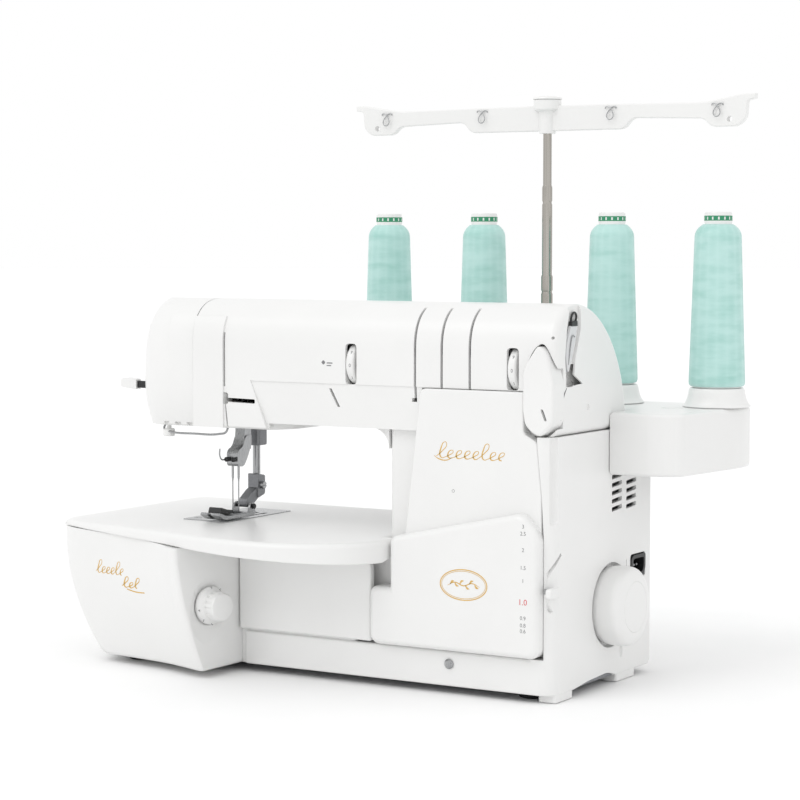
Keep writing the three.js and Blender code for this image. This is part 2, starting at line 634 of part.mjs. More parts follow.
const holderBase = TRAY_TOP + GAP;
const holderProfile = [
  [0, holderBase], [28, holderBase], [25, HOLDER_TOP - 2], [22, HOLDER_TOP],
  [6, HOLDER_TOP], [5, HOLDER_TOP + 40], [0, HOLDER_TOP + 42],
];
const CONE_BASE = HOLDER_TOP + GAP;
const CONE_BASE_RADIUS = [20, 21.5, 22, 22.5];
CONE_X.forEach((x, i) => {
  const name = (i + 1).toString();
  const base = CONE_BASE_RADIUS[i];
  addPart("cone_holder_" + name, turned(holderProfile, "z", [x, ROD_Y, 0]), WHITE);
  const top = CONE_BASE + CONE_HEIGHT;
  const profile = [
    [7, CONE_BASE], [base, CONE_BASE], [base, CONE_BASE + 6], [base * 0.82, top - 16], [base * 0.72, top - 11],
    [11, top - 9], [10.6, top], [6.5, top], [6.5, CONE_BASE + 50], [7, CONE_BASE],
  ];
  addPart("thread_cone_" + name, turned(profile, "z", [x, ROD_Y, 0]), MINT);
});

const tube = (outer, inner, z0, z1) =>
  turned([[inner, z0], [outer, z0], [outer, z1], [inner, z1], [inner, z0]], "z", [ROD_X, ROD_Y, 0], 14);
addPart("rod_lower_tube", tube(4.5, 3.9, 205.3, ROD_JOINTS[0]), CHROME);
addPart("rod_middle_tube", tube(3.6, 3, ROD_JOINTS[0] - 30, ROD_JOINTS[1]), CHROME);
addPart("rod_top", rod(2.7, ROD_JOINTS[1] - 30, BAR_TOP - 1, "z", [ROD_X, ROD_Y, 0]), CHROME);

// The guide bar, drawn from one tip to the other: a tongue at each tip, a deep pad over each outer cone,
// a slim stretch, and a deep middle. Rows are [distance from the rod, height].
const BAR_UNDERSIDE = [
  [188, 465.5], [181, 464.5], [180, 448], [175, 443.5], [150, 443.5], [142, 450.5], [78, 450.5], [73, 443.5],
];
const BAR_TOPSIDE = [[73, 464.5], [142, 464], [150, 465], [178, BAR_TOP], [188, BAR_TOP]];
const barShape = outline([
  ...BAR_UNDERSIDE.map(([offset, z]) => [ROD_X - offset, z]),
  ...BAR_UNDERSIDE.toReversed().map(([offset, z]) => [ROD_X + offset, z]),
  ...BAR_TOPSIDE.toReversed().map(([offset, z]) => [ROD_X + offset, z]),
  ...BAR_TOPSIDE.map(([offset, z]) => [ROD_X - offset, z]),
]);
const barHole = rod(3, 400, 500, "z", [ROD_X, ROD_Y, 0]);
const hubProfile = [
  [0, BAR_BOTTOM - 2], [5.5, BAR_BOTTOM - 2], [5.5, 458], [10, 461], [10, BAR_TOP], [0, BAR_TOP],
];
const barHub = turned(hubProfile, "z", [ROD_X, ROD_Y, 0]);
addPart("guide_bar", cut(join(frontal(barShape, ROD_Y - 3, ROD_Y + 3, 0.8), barHub), barHole), WHITE);
const capTop = BAR_TOP + GAP;
const capProfile = [[0, capTop], [9.5, capTop], [9, capTop + 1.5], [6, capTop + 2.4], [0, capTop + 2.7]];
addPart("guide_bar_cap", turned(capProfile, "z", [ROD_X, ROD_Y, 0]), WHITE);

CONE_X.forEach((x, i) => {
  const front = ROD_Y - 3 - GAP;
  const loop = bentWire(
    [
      [x - 5, front - 1, 460], [x - 4, front - 3, 454], [x, front - 4, 449],
      [x + 4, front - 3, 454], [x + 5, front - 1, 460],
    ],
    0.8,
  );
  addPart("wire_guide_" + (i + 1), loop, STEEL);
});

// ---- Drive and mechanism inside the casing ----------------------------------------------------------
const MOTOR_Y = 112;
const MOTOR_Z = 158;
const PULLEY_LEFT = -72;
const PULLEY_RIGHT = -62;
const SHAFT_PULLEY_RADIUS = 30;
const MOTOR_PULLEY_RADIUS = 7.5;
addPart("main_shaft", rod(5, -350, GAP, "x", [0, SHAFT_Y, SHAFT_Z]), STEEL);
const shaftPulley = cut(
  rod(SHAFT_PULLEY_RADIUS, PULLEY_LEFT, PULLEY_RIGHT, "x", [0, SHAFT_Y, SHAFT_Z], 28),
  rod(5 + 2 * GAP, PULLEY_LEFT - 1, PULLEY_RIGHT + 1, "x", [0, SHAFT_Y, SHAFT_Z]),
);
addPart("belt_pulley", shaftPulley, CASTING);
const motorBody = join(
  rod(26, -145, -85, "x", [0, MOTOR_Y, MOTOR_Z], 24),
  rod(9, -86, -79, "x", [0, MOTOR_Y, MOTOR_Z]),
);
addPart("motor", motorBody, CASTING);
addPart("motor_pulley", rod(MOTOR_PULLEY_RADIUS, -78.5, PULLEY_RIGHT, "x", [0, MOTOR_Y, MOTOR_Z], 20), STEEL);

// The belt's outline: two arcs joined by the common tangents of its pulleys.
function beltOutline(shape, thickness) {
  const small = MOTOR_PULLEY_RADIUS + thickness;
  const large = SHAFT_PULLEY_RADIUS + thickness;
  const along = Math.atan2(MOTOR_Z - SHAFT_Z, MOTOR_Y - SHAFT_Y);
  const spread = Math.acos((large - small) / Math.hypot(MOTOR_Z - SHAFT_Z, MOTOR_Y - SHAFT_Y));
  shape.absarc(MOTOR_Y, MOTOR_Z, small, along - spread, along + spread, false);
  shape.absarc(SHAFT_Y, SHAFT_Z, large, along + spread, along + 2 * Math.PI - spread, false);
  return shape;
}
const beltShape = beltOutline(new THREE.Shape(), 2.6);
beltShape.holes.push(beltOutline(new THREE.Path(), 3 * GAP));
addPart("drive_belt", sidewise(beltShape, PULLEY_LEFT + 0.5, PULLEY_RIGHT - 0.5), RUBBER);

const frameOutline = outline([[-400, 14], [-28, 14], [-28, 190], [-144, 190], [-144, 92], [-400, 92]]);
addPart("inner_frame", frontal(frameOutline, 152, 157), CASTING);
addPart("circuit_board", box([-145, 26, 120], [-40, 27.6, 190]), BOARD);
const looperShape = outline([
  [-296, 44], [-286, 44], [-286, 60], [-292, 82], [-318, 94], [-328, 95], [-318, 90], [-302, 78], [-298, 62],
]);
addPart("looper", frontal(looperShape, 44, 48), STEEL);

// ---- Origin: middle of the footprint, on the table ---------------------------------------------------
const bounds = new THREE.Box3().setFromObject(machine);
const centre = bounds.getCenter(new THREE.Vector3());
machine.position.set(-centre.x, -centre.y, -bounds.min.z);

export default machine;
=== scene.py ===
from math import cos, pi, radians, sin

import bmesh
import bpy
from mathutils import Matrix, Vector
from mathutils.bvhtree import BVHTree
from mathutils.geometry import interpolate_bezier


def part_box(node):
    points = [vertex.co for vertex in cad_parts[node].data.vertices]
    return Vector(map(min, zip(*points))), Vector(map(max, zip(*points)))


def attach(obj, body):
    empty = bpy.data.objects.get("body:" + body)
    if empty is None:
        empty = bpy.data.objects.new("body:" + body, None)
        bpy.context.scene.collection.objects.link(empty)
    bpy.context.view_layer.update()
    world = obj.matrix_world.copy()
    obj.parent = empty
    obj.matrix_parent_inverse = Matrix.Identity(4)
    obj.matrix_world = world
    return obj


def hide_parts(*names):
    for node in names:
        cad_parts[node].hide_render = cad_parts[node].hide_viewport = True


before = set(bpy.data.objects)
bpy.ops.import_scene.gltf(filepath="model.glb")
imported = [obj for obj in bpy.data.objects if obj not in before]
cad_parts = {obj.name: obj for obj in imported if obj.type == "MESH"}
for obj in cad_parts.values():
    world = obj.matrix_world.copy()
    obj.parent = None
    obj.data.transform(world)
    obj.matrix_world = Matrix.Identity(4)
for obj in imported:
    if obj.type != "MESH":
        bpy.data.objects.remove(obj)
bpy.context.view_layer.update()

# ---- Table, light and camera ---------------------------------------------------------------------
# The machine stands on a plain white table in a bright, even room. One broad soft lamp shines from
# above its front left, and a long lens looks at it from a little to the right of its front.
MM = 0.001
scene = bpy.context.scene
scene.view_settings.view_transform = "Standard"

room = bpy.data.worlds.new("Bright room")
room.use_nodes = True
room.node_tree.nodes["Background"].inputs["Color"].default_value = (1, 1, 1, 1)
room.node_tree.nodes["Background"].inputs["Strength"].default_value = 1.0
scene.world = room


def add_object(name, data):
    """Puts some data into the scene as an object."""
    made = bpy.data.objects.new(name, data)
    scene.collection.objects.link(made)
    return made


def aim(thing, place, direction):
    """Stands a camera or lamp at a place, facing a direction."""
    thing.location = place
    thing.rotation_euler = direction.to_track_quat("-Z", "Y").to_euler()


machine_middle = Vector((0, 0, 0.2))
soft_lamp = bpy.data.lights.new("Soft lamp", "SUN")
soft_lamp.energy = 0.5
soft_lamp.angle = radians(35)
lamp_place = Vector((-0.6, -1.5, 2.0))
aim(add_object("Soft lamp", soft_lamp), lamp_place, machine_middle - lamp_place)

LENS_AZIMUTH = radians(31.2)
LENS_DROP = radians(3.93)
LENS_PLACE = (1.0036, -1.6479, 0.354)
lens = bpy.data.cameras.new("Camera")
lens.lens = 106.0
lens.sensor_width = 36
lens.clip_end = 100
view_direction = Vector((
    -sin(LENS_AZIMUTH) * cos(LENS_DROP), cos(LENS_AZIMUTH) * cos(LENS_DROP), -sin(LENS_DROP),
))
camera = add_object("Camera", lens)
aim(camera, LENS_PLACE, view_direction)
scene.camera = camera

table_mesh = bmesh.new()
bmesh.ops.create_circle(table_mesh, cap_ends=True, radius=25, segments=96)
table_data = bpy.data.meshes.new("table_top")
table_mesh.to_mesh(table_data)
table_mesh.free()
table = add_object("table_top", table_data)


def linear(code):
    """An sRGB hex colour as linear red, green, blue and alpha."""
    channels = [int(code[i:i + 2], 16) / 255 for i in (1, 3, 5)]
    return (*[c / 12.92 if c <= 0.04045 else ((c + 0.055) / 1.055) ** 2.4 for c in channels], 1.0)


def add_node(tree, kind, inputs=None, **settings):
    """Adds one node, with its settings, and its inputs set to values or linked to sockets."""
    made = tree.nodes.new(kind)
    for key, value in settings.items():
        setattr(made, key, value)
    for key, value in (inputs or {}).items():
        if isinstance(value, bpy.types.NodeSocket):
            tree.links.new(value, made.inputs[key])
        else:
            made.inputs[key].default_value = value
    return made


def new_finish(name, **shader_values):
    """A material with its surface shader's even values set; returns it with its tree and its shader."""
    material = bpy.data.materials.new(name)
    material.use_nodes = True
    shader = material.node_tree.nodes["Principled BSDF"]
    for key, value in shader_values.items():
        shader.inputs[key.replace("_", " ")].default_value = value
    return material, material.node_tree, shader


# White laminate: matt, with the faintest mottling.
white_laminate, tree, shader = new_finish("white_laminate", Roughness=0.9)
place = add_node(tree, "ShaderNodeTexCoord").outputs["Object"]
mottling = add_node(tree, "ShaderNodeTexNoise", {"Vector": place, "Scale": 1000 / 80}).outputs[0]
laminate_colour = add_node(
    tree, "ShaderNodeMix", {0: mottling, 6: linear("#f7f7f7"), 7: linear("#fcfcfc")}, data_type="RGBA",
)
tree.links.new(laminate_colour.outputs[2], shader.inputs["Base Color"])
table_data.materials.append(white_laminate)

# ---- Rubber feet -----------------------------------------------------------------------------------
# Four moulded rubber feet, black and matt, pushed into the base pan from below. Each is turned, with
# a shallow dish in its sole.
# All pieces are drawn in machine millimetres: X from the casing's right side, Y from its front, Z up.
TO_ROW = Matrix.Translation((
    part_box("lower_casing")[1].x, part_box("lower_casing")[0].y, 0,
)) @ Matrix.Scale(MM, 4)
AXES = {
    "x": Matrix(((0, 0, 1, 0), (1, 0, 0, 0), (0, 1, 0, 0), (0, 0, 0, 1))),
    "y": Matrix(((1, 0, 0, 0), (0, 0, 1, 0), (0, 1, 0, 0), (0, 0, 0, 1))),
    "z": Matrix.Identity(4),
}


def make(name, mesh):
    """A closed bmesh as an object, still in machine millimetres, with its faces outwards."""
    bmesh.ops.remove_doubles(mesh, verts=mesh.verts, dist=0.001)
    bmesh.ops.recalc_face_normals(mesh, faces=mesh.faces)
    data = bpy.data.meshes.new(name)
    mesh.to_mesh(data)
    mesh.free()
    return add_object(name, data)


def lathe(name, profile, axis="z", centre=(0, 0, 0), steps=48, turn=None):
    """A turned piece: rows of (radius, distance along the axis), spun about an axis through centre."""
    mesh = bmesh.new()
    drawn = [mesh.verts.new((radius, 0, along)) for radius, along in profile]
    for pair in zip(drawn, drawn[1:]):
        mesh.edges.new(pair)
    bmesh.ops.spin(
        mesh, geom=mesh.verts[:] + mesh.edges[:], cent=(0, 0, 0), axis=(0, 0, 1),
        angle=2 * pi, steps=steps, use_merge=True,
    )
    matrix = Matrix.Translation(centre) @ (turn or Matrix.Identity(4)) @ AXES[axis]
    bmesh.ops.transform(mesh, matrix=matrix, verts=mesh.verts)
    return make(name, mesh)


def settle(piece, body, slot, finish, *nodes, edge=0.0, crease=35.0):
    """Scales a piece into place, softens its edges, and fixes it to its body."""
    piece.data.transform(TO_ROW)
    piece.data.materials.clear()
    piece.data.materials.append(finish)
    piece.data.shade_smooth()
    piece.data.set_sharp_from_angle(angle=radians(crease))
    if edge > 0:
        softened = piece.modifiers.new("Softened edges", "BEVEL")
        softened.limit_method = "ANGLE"
        softened.angle_limit = radians(crease)
        softened.width = edge * MM
        softened.segments = 3
        softened.use_clamp_overlap = True
    flat = piece.modifiers.new("Flat faces stay flat", "WEIGHTED_NORMAL")
    flat.keep_sharp = True
    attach(piece, body)
    if nodes:
        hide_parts(*nodes)
    return piece


# Moulded rubber: black-grey, rough, with a fine tooth.
rubber, tree, shader = new_finish("moulded_rubber", Base_Color=linear("#1c1c1d"), IOR=1.52)
place = add_node(tree, "ShaderNodeTexCoord").outputs["Object"]
tooth = add_node(tree, "ShaderNodeTexNoise", {"Vector": place, "Scale": 1000 / 0.8, "Detail": 4}).outputs[0]
scuffs = add_node(tree, "ShaderNodeMapRange", {"Value": tooth, "To Min": 0.72, "To Max": 0.92})
tree.links.new(scuffs.outputs[0], shader.inputs["Roughness"])
tooth_bump = add_node(tree, "ShaderNodeBump", {"Height": tooth, "Strength": 0.4, "Distance": 0.0002})
tree.links.new(tooth_bump.outputs[0], shader.inputs["Normal"])

FEET = {
    "foot_front_left": (-392, 4),
    "foot_front_right": (-30, 26),
    "foot_rear_left": (-392, 150),
    "foot_rear_right": (-30, 150),
}
foot_profile = [(0, 0.6), (7, 0.4), (8, 0), (9.4, 0), (10.6, 0.6), (11, 1.8), (11, 5), (10.4, 6), (0, 6)]
for name, (x, y) in FEET.items():
    settle(
        lathe(name + "_rubber", foot_profile, centre=(x, y, 0)), "machine", "rubber", rubber, name,
        crease=50,
    )

# ---- Base pan and inner frame ----------------------------------------------------------------------
# The pan and the upright frame are die-cast aluminium: grey, grainy from the die, unpainted. The
# motor and the big belt pulley are cast too. They are screwed together before the shells go on.
castings, tree, shader = new_finish("die_cast_aluminium", Metallic=1.0)
place = add_node(tree, "ShaderNodeTexCoord").outputs["Object"]
die_grain = add_node(
    tree, "ShaderNodeTexNoise", {"Vector": place, "Scale": 1000 / 2.2, "Detail": 5},
).outputs[0]
clouds = add_node(tree, "ShaderNodeTexNoise", {"Vector": place, "Scale": 1000 / 40}).outputs[0]
casting_colour = add_node(
    tree, "ShaderNodeMix", {0: clouds, 6: linear("#8b8d90"), 7: linear("#a3a5a8")}, data_type="RGBA",
)
tree.links.new(casting_colour.outputs[2], shader.inputs["Base Color"])
casting_roughness = add_node(
    tree, "ShaderNodeMapRange", {"Value": die_grain, "To Min": 0.5, "To Max": 0.72},
)
tree.links.new(casting_roughness.outputs[0], shader.inputs["Roughness"])
casting_bump = add_node(tree, "ShaderNodeBump", {"Height": die_grain, "Strength": 0.5, "Distance": 0.0003})
tree.links.new(casting_bump.outputs[0], shader.inputs["Normal"])


def dress(finish, *names):
    """Gives CAD pieces, whose shapes stay as they are, their finish."""
    for name in names:
        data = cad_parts[name].data
        data.materials.clear()
        data.materials.append(finish)


dress(castings, "base_pan", "inner_frame", "motor", "belt_pulley")
dress(rubber, "drive_belt")

# ---- Shaft, motor pulley and looper ----------------------------------------------------------------
# Ground and polished steel, bright with faint turning marks. The shaft runs from the handwheel
# through the big pulley to the looper drive.
steel, tree, shader = new_finish("machined_steel", Metallic=1.0)
place = add_node(tree, "ShaderNodeTexCoord").outputs["Object"]
stretched = add_node(tree, "ShaderNodeMapping", {"Vector": place, "Scale": (1.0, 1.0, 0.12)}).outputs[0]
tool_marks = add_node(
    tree, "ShaderNodeTexNoise", {"Vector": stretched, "Scale": 1000 / 0.7, "Detail": 3},
).outputs[0]
steel_colour = add_node(
    tree, "ShaderNodeMix", {0: tool_marks, 6: linear("#8c8d8f"), 7: linear("#bdbebf")}, data_type="RGBA",
)
tree.links.new(steel_colour.outputs[2], shader.inputs["Base Color"])
steel_roughness = add_node(tree, "ShaderNodeMapRange", {"Value": tool_marks, "To Min": 0.2, "To Max": 0.38})
tree.links.new(steel_roughness.outputs[0], shader.inputs["Roughness"])
steel_bump = add_node(tree, "ShaderNodeBump", {"Height": tool_marks, "Strength": 0.15, "Distance": 0.0001})
tree.links.new(steel_bump.outputs[0], shader.inputs["Normal"])
dress(steel, "main_shaft", "motor_pulley", "looper")

# ---- Circuit board ---------------------------------------------------------------------------------
# Glass-fibre laminate under green solder mask, with lighter copper tracks showing through it. It
# stands on edge behind the front cover.
board, tree, shader = new_finish("solder_mask", Roughness=0.35, IOR=1.5)
place = add_node(tree, "ShaderNodeTexCoord").outputs["Object"]
upright = add_node(tree, "ShaderNodeMapping", {"Vector": place, "Rotation": (pi / 2, 0, 0)}).outputs[0]
tracks = add_node(
    tree, "ShaderNodeTexBrick",
    {
        "Vector": upright, "Color1": linear("#1f6a3f"), "Color2": linear("#2a7a4a"),
        "Mortar": linear("#4f9a64"), "Scale": 1000 / 12, "Mortar Size": 0.06,
    },
)
tree.links.new(tracks.outputs["Color"], shader.inputs["Base Color"])
dress(board, "circuit_board")

# ---- Lower casing ----------------------------------------------------------------------------------
# One injection-moulded ABS shell: plinth, the box under the bed, and the pillar. It is white and
# glossy, open below, and clips over the frame. Slots for air, the lever and the inlet are moulded in.


def moulded(name, light, dark, low_roughness, high_roughness):
    """Injection-moulded plastic: even colour with faint flow marks, and the slight ripple of the mould."""
    material, tree, shader = new_finish(name, IOR=1.53)
    place = add_node(tree, "ShaderNodeTexCoord").outputs["Object"]
    flow = add_node(
        tree, "ShaderNodeTexNoise", {"Vector": place, "Scale": 1000 / 60, "Detail": 2},
    ).outputs[0]
    colour = add_node(tree, "ShaderNodeMix", {0: flow, 6: linear(dark), 7: linear(light)}, data_type="RGBA")
    tree.links.new(colour.outputs[2], shader.inputs["Base Color"])
    # Real mould texture is near 0.1 mm; it is drawn ten times coarser so that it shows.
    ripple = add_node(
        tree, "ShaderNodeTexNoise", {"Vector": place, "Scale": 1000 / 1.1, "Detail": 3},
    ).outputs[0]
    gloss = add_node(
        tree, "ShaderNodeMapRange", {"Value": ripple, "To Min": low_roughness, "To Max": high_roughness},
    )
    tree.links.new(gloss.outputs[0], shader.inputs["Roughness"])
    bump = add_node(tree, "ShaderNodeBump", {"Height": ripple, "Strength": 0.06, "Distance": 0.0001})
    tree.links.new(bump.outputs[0], shader.inputs["Normal"])
    return material


white_abs = moulded("glossy_white_abs", "#ebebea", "#e6e6e5", 0.26, 0.34)


def prism(name, outline, axis, low, high, rims=(0, 0), rim_steps=5, corner_steps=8):
    """An outline of (a, b) or (a, b, corner size) pushed along an axis from low to high, its rims rounded."""
    mesh = bmesh.new()
    rounded = {}
    for a, b, *corner in outline:
        vertex = mesh.verts.new((a, b, low))
        if corner and corner[0] > 0:
            rounded.setdefault(corner[0], []).append(vertex)
    mesh.faces.new(mesh.verts)
    for size, corners in rounded.items():
        bmesh.ops.bevel(
            mesh, geom=corners, offset=size, offset_type="OFFSET", affect="VERTICES",
            segments=corner_steps, profile=0.5, material=-1,
        )
    raised = bmesh.ops.extrude_face_region(mesh, geom=mesh.faces[:])["geom"]
    top = [part for part in raised if isinstance(part, bmesh.types.BMVert)]
    bmesh.ops.translate(mesh, vec=(0, 0, high - low), verts=top)
    bmesh.ops.recalc_face_normals(mesh, faces=mesh.faces)
    for level, size in zip((low, high), rims):
        if size > 0:
            rim = [e for e in mesh.edges if all(abs(v.co.z - level) < 1e-6 for v in e.verts)]
            bmesh.ops.bevel(
                mesh, geom=rim, offset=size, offset_type="OFFSET", affect="EDGES",
                segments=rim_steps, profile=0.5, material=-1, clamp_overlap=True,
            )
    bmesh.ops.transform(mesh, matrix=AXES[axis], verts=mesh.verts)
    return make(name, mesh)


def block(name, low, high, corner=0, rims=(0, 0)):
    """A box between two corners, its upright edges and its top and bottom rims rounded."""
    (x0, y0, z0), (x1, y1, z1) = low, high
    outline = [(x0, y0, corner), (x1, y0, corner), (x1, y1, corner), (x0, y1, corner)]
    return prism(name, outline, "z", z0, z1, rims)


def combine(body, tools, how):
    """Works tools into a body, keeps the result as a plain mesh, and takes the tools away."""
    for tool in tools:
        step = body.modifiers.new("Worked", "BOOLEAN")
        step.operation = how
        step.solver = "EXACT"
        step.object = tool
    bpy.context.view_layer.update()
    worked = body.evaluated_get(bpy.context.evaluated_depsgraph_get())
    data = bpy.data.meshes.new_from_object(worked)
    body.modifiers.clear()
    body.data = data
    for tool in tools:
        bpy.data.objects.remove(tool)
    return body


def cut(body, *tools):
    return combine(body, tools, "DIFFERENCE")


def join(body, *tools):
    return combine(body, tools, "UNION")


def keep(body, *tools):
    return combine(body, tools, "INTERSECT")


CASING_BOTTOM = 6.3
CASING_REAR = 170
CORNER = 12
WALL = 3
BED_LIP = 104
PLINTH_TOP = 34
PILLAR_LEFT = -152
PILLAR_FOOT_LEFT = -178
PILLAR_FRONT = 12
ARM_BOTTOM = 204
SHAFT_Y = 101
SHAFT_Z = 64
plinth = prism(
    "lower_casing_shell",
    [(-284, 0, 3), (0, 0, CORNER), (0, CASING_REAR), (-284, CASING_REAR)],
    "z", CASING_BOTTOM, PLINTH_TOP, (1.5, 2.5), corner_steps=10,
)
bed_box = block("bed_box", (-425, 2, CASING_BOTTOM), (-177, CASING_REAR, BED_LIP - 0.3), 3, (2, 0))
pillar = prism(
    "pillar",
    [(PILLAR_LEFT, PILLAR_FRONT, 6), (-14, PILLAR_FRONT, 4), (0, PILLAR_FRONT + 4, 3), (0, CASING_REAR),
     (PILLAR_LEFT, CASING_REAR)],
    "z", 20, ARM_BOTTOM - 0.3, corner_steps=10,
)
pillar_foot = block(
    "pillar_foot", (PILLAR_FOOT_LEFT, PILLAR_FRONT, 20), (-60, CASING_REAR, BED_LIP - 0.3), 3,
)
corner_post = prism(
    "corner_post",
    [(-22, 0, 4), (0, 0, CORNER), (0, 60), (-22, 60)],
    "z", 12, ARM_BOTTOM - 0.3, corner_steps=10,
)
foot_blocks = [
    block("foot_block", (-16, y0, 0.4), (-0.4, y1, 12), 2.5, (1, 0)) for y0, y1 in ((7, 36), (112, 146))
]
wheel_boss = lathe("wheel_boss", [(0, -10), (38, -10), (38, -1), (0, -1)], "x", (0, SHAFT_Y, SHAFT_Z))
casing = join(plinth, bed_box, pillar_foot, pillar, corner_post, *foot_blocks)
hollows = [
    block("hollow", (-422, 5, 0), (-174, 200, BED_LIP - 0.3 - WALL)),
    block("hollow", (-281, 3, 0), (-17, 200, PLINTH_TOP - WALL)),
    block(
        "hollow", (PILLAR_FOOT_LEFT + WALL, PILLAR_FRONT + WALL + 1, 0), (-17, 200, BED_LIP - 0.3 - WALL),
    ),
    block("hollow", (PILLAR_LEFT + WALL, PILLAR_FRONT + WALL + 1, 0), (-17, 200, ARM_BOTTOM - WALL)),
    block("hollow", (-18, 39, 0), (-WALL, 109, ARM_BOTTOM - WALL)),
    block("hollow", (-18, 34, 14), (-WALL, 200, ARM_BOTTOM - WALL)),
]
casing = cut(casing, *hollows)
casing = join(casing, wheel_boss)

# The arched window between the two foot blocks, and the gaps beside them.
window = prism(
    "window", [(38, -1), (38, 7, 2), (60, 9.5, 6), (95, 11, 6), (110, 7, 2), (110, -1)], "x", -25, 5,
)
wheel_recess = lathe(
    "wheel_recess", [(0, -5), (33, -5), (33.4, -2), (34.2, 1), (0, 1)], "x", (0, SHAFT_Y, SHAFT_Z), 64,
)
shaft_hole = lathe("shaft_hole", [(0, -12), (7, -12), (7, 0), (0, 0)], "x", (0, SHAFT_Y, SHAFT_Z))

LEVER_Y = 34
LEVER_Z = 87
LEVER_RADIUS = 34


def arc(centre, radius, start, end, steps=18):
    """Points along an arc, from one angle to another."""
    return [
        (centre[0] + radius * cos(start + (end - start) * i / steps),
         centre[1] + radius * sin(start + (end - start) * i / steps))
        for i in range(steps + 1)
    ]


lever_slot = prism(
    "lever_slot",
    arc((LEVER_Y, LEVER_Z), LEVER_RADIUS + 1.2, 2.2, 3.65) + arc(
        (LEVER_Y, LEVER_Z), LEVER_RADIUS - 1.2, 3.65, 2.2,
    ),
    "x", -6, 3,
)
vents = []
for vent_y, rows in ((101, 5), (127, 4)):
    for row in range(rows):
        z = 138 + 6.4 * row
        vents.append(
            prism(
                "vent",
                [
                    (vent_y, z, 0.8), (vent_y + 18, z + 1.5, 0.8), (vent_y + 18, z + 5, 0.8),
                    (vent_y, z + 3.5, 0.8),
                ],
                "x", -8, 3, corner_steps=3,
            ),
        )
inlet_hole = prism(
    "inlet_hole", [(135, 80, 3), (163, 80, 3), (163, 100, 3), (135, 100, 3)], "x", -30, 3, corner_steps=4,
)
channel = prism(
    "channel", [(-6, 136, 6), (9, 136, 6), (9, 215), (-6, 215)], "x", -4.5, 3, (3, 0),
)
COVER_RIGHT = [(-8.2, 40), (-8.2, 125), (-10, 160), (-14, 200)]
cover_recess = prism(
    "cover_recess",
    [(-60, PLINTH_TOP), (-7.9, PLINTH_TOP)] + [(x + 0.3, z) for x, z in COVER_RIGHT] + [
        (-14, 215), (-60, 215),
    ],
    "y", -5, PILLAR_FRONT,
)
teardrop = lathe("teardrop", [(0, -2.2), (1.6, -1.6), (2.6, -0.4), (3, 1), (0, 1)], "x", (0, 119, 25), 24)
teardrop.data.transform(
    Matrix.Translation((0, 0, 25)) @ Matrix.Scale(
        2.1, 4, Vector((0, 0, 1)),
    ) @ Matrix.Translation((0, 0, -25)),
)
inlet_groove = block("inlet_groove", (-0.7, 127.5, 82), (1, 128.6, 97))
needle_opening = block("needle_opening", (-361, 24, 80), (-317, 116, 120))
casing = cut(
    casing, window, wheel_recess, shaft_hole, lever_slot, inlet_hole, channel, cover_recess,
    teardrop, inlet_groove, needle_opening,
)
casing = cut(casing, *vents)
settle(casing, "machine", "white_abs", white_abs, "lower_casing", edge=0.35)

# ---- Rear cover ------------------------------------------------------------------------------------
# The back wall, a moulded ABS plate with rounded edges. Five cross-head screws, deep in their wells,
# hold it to the frame.
BASE_LEFT = -425
rear = prism(
    "rear_cover_shell",
    [(BASE_LEFT, CASING_BOTTOM, 4), (-1, CASING_BOTTOM, 4), (-1, 167, 4), (PILLAR_LEFT, 167, 4),
     (PILLAR_LEFT, 103.7), (BASE_LEFT, 103.7, 4)],
    "y", CASING_REAR + 0.3, 177, (0, 3.5), corner_steps=5,
)
SCREW_WELLS = [(-410, 20), (-410, 92), (-14, 20), (-14, 155), (-190, 20)]
wells = [
    lathe("well", [(0, 173.5), (4.2, 173.5), (4.6, 178), (0, 178)], "y", (x, 0, z), 24)
    for x, z in SCREW_WELLS
]
rear = cut(rear, *wells)
settle(rear, "machine", "white_abs", white_abs, "rear_cover", edge=0.3)
for number, (x, z) in enumerate(SCREW_WELLS, 1):
    head = lathe(
        "rear_screw_%d" % number, [(0, 173.6), (3.6, 173.6), (3.6, 174.6), (2.8, 175.4), (0, 175.6)], "y",
        (x, 0, z), 24,
    )
    cross = [block("cross", (x - w, 174.6, z - h), (x + w, 177, z + h)) for w, h in ((0.45, 2), (2, 0.45))]
    settle(cut(head, *cross), "machine", "machined_steel", steel)

# ---- Bed plate -------------------------------------------------------------------------------------
# The work table: one thick ABS moulding whose front edge swells out towards the middle. Its lip is
# thin at the left end and grows deeper to the right, and the needle plate is let into its top.
BED_TOP = 118
BED_LEFT = -455


def smooth_curve(points, steps=6):
    """Points along a smooth curve through the given ones."""
    places = [Vector((*point, 0)) for point in points]
    ends = [places[0] * 2 - places[1], *places, places[-1] * 2 - places[-2]]
    curve = [places[0]]
    for before, start, end, after in zip(ends, ends[1:], ends[2:], ends[3:]):
        curve += interpolate_bezier(
            start, start + (end - before) / 6, end - (after - start) / 6, end, steps + 1,
        )[1:]
    return [(place.x, place.y) for place in curve]


bed_front_edge = smooth_curve(
    [
        (-449, -26), (-430, -34), (-405, -40), (-335, -54), (-285, -67), (-240, -72), (-195, -65),
        (-162, -46), (-145, -20), (-141, 1),
    ],
)
bed = prism(
    "bed_plate_moulding",
    [(BED_LEFT, 168, 8), (BED_LEFT, -17, 8)] + bed_front_edge + [
        (-141, 11.5), (PILLAR_LEFT - 0.5, 11.5), (PILLAR_LEFT - 0.5, 176), (BED_LEFT + 8, 176),
    ],
    "z", BED_LIP, BED_TOP, (1.2, 5), rim_steps=7,
)
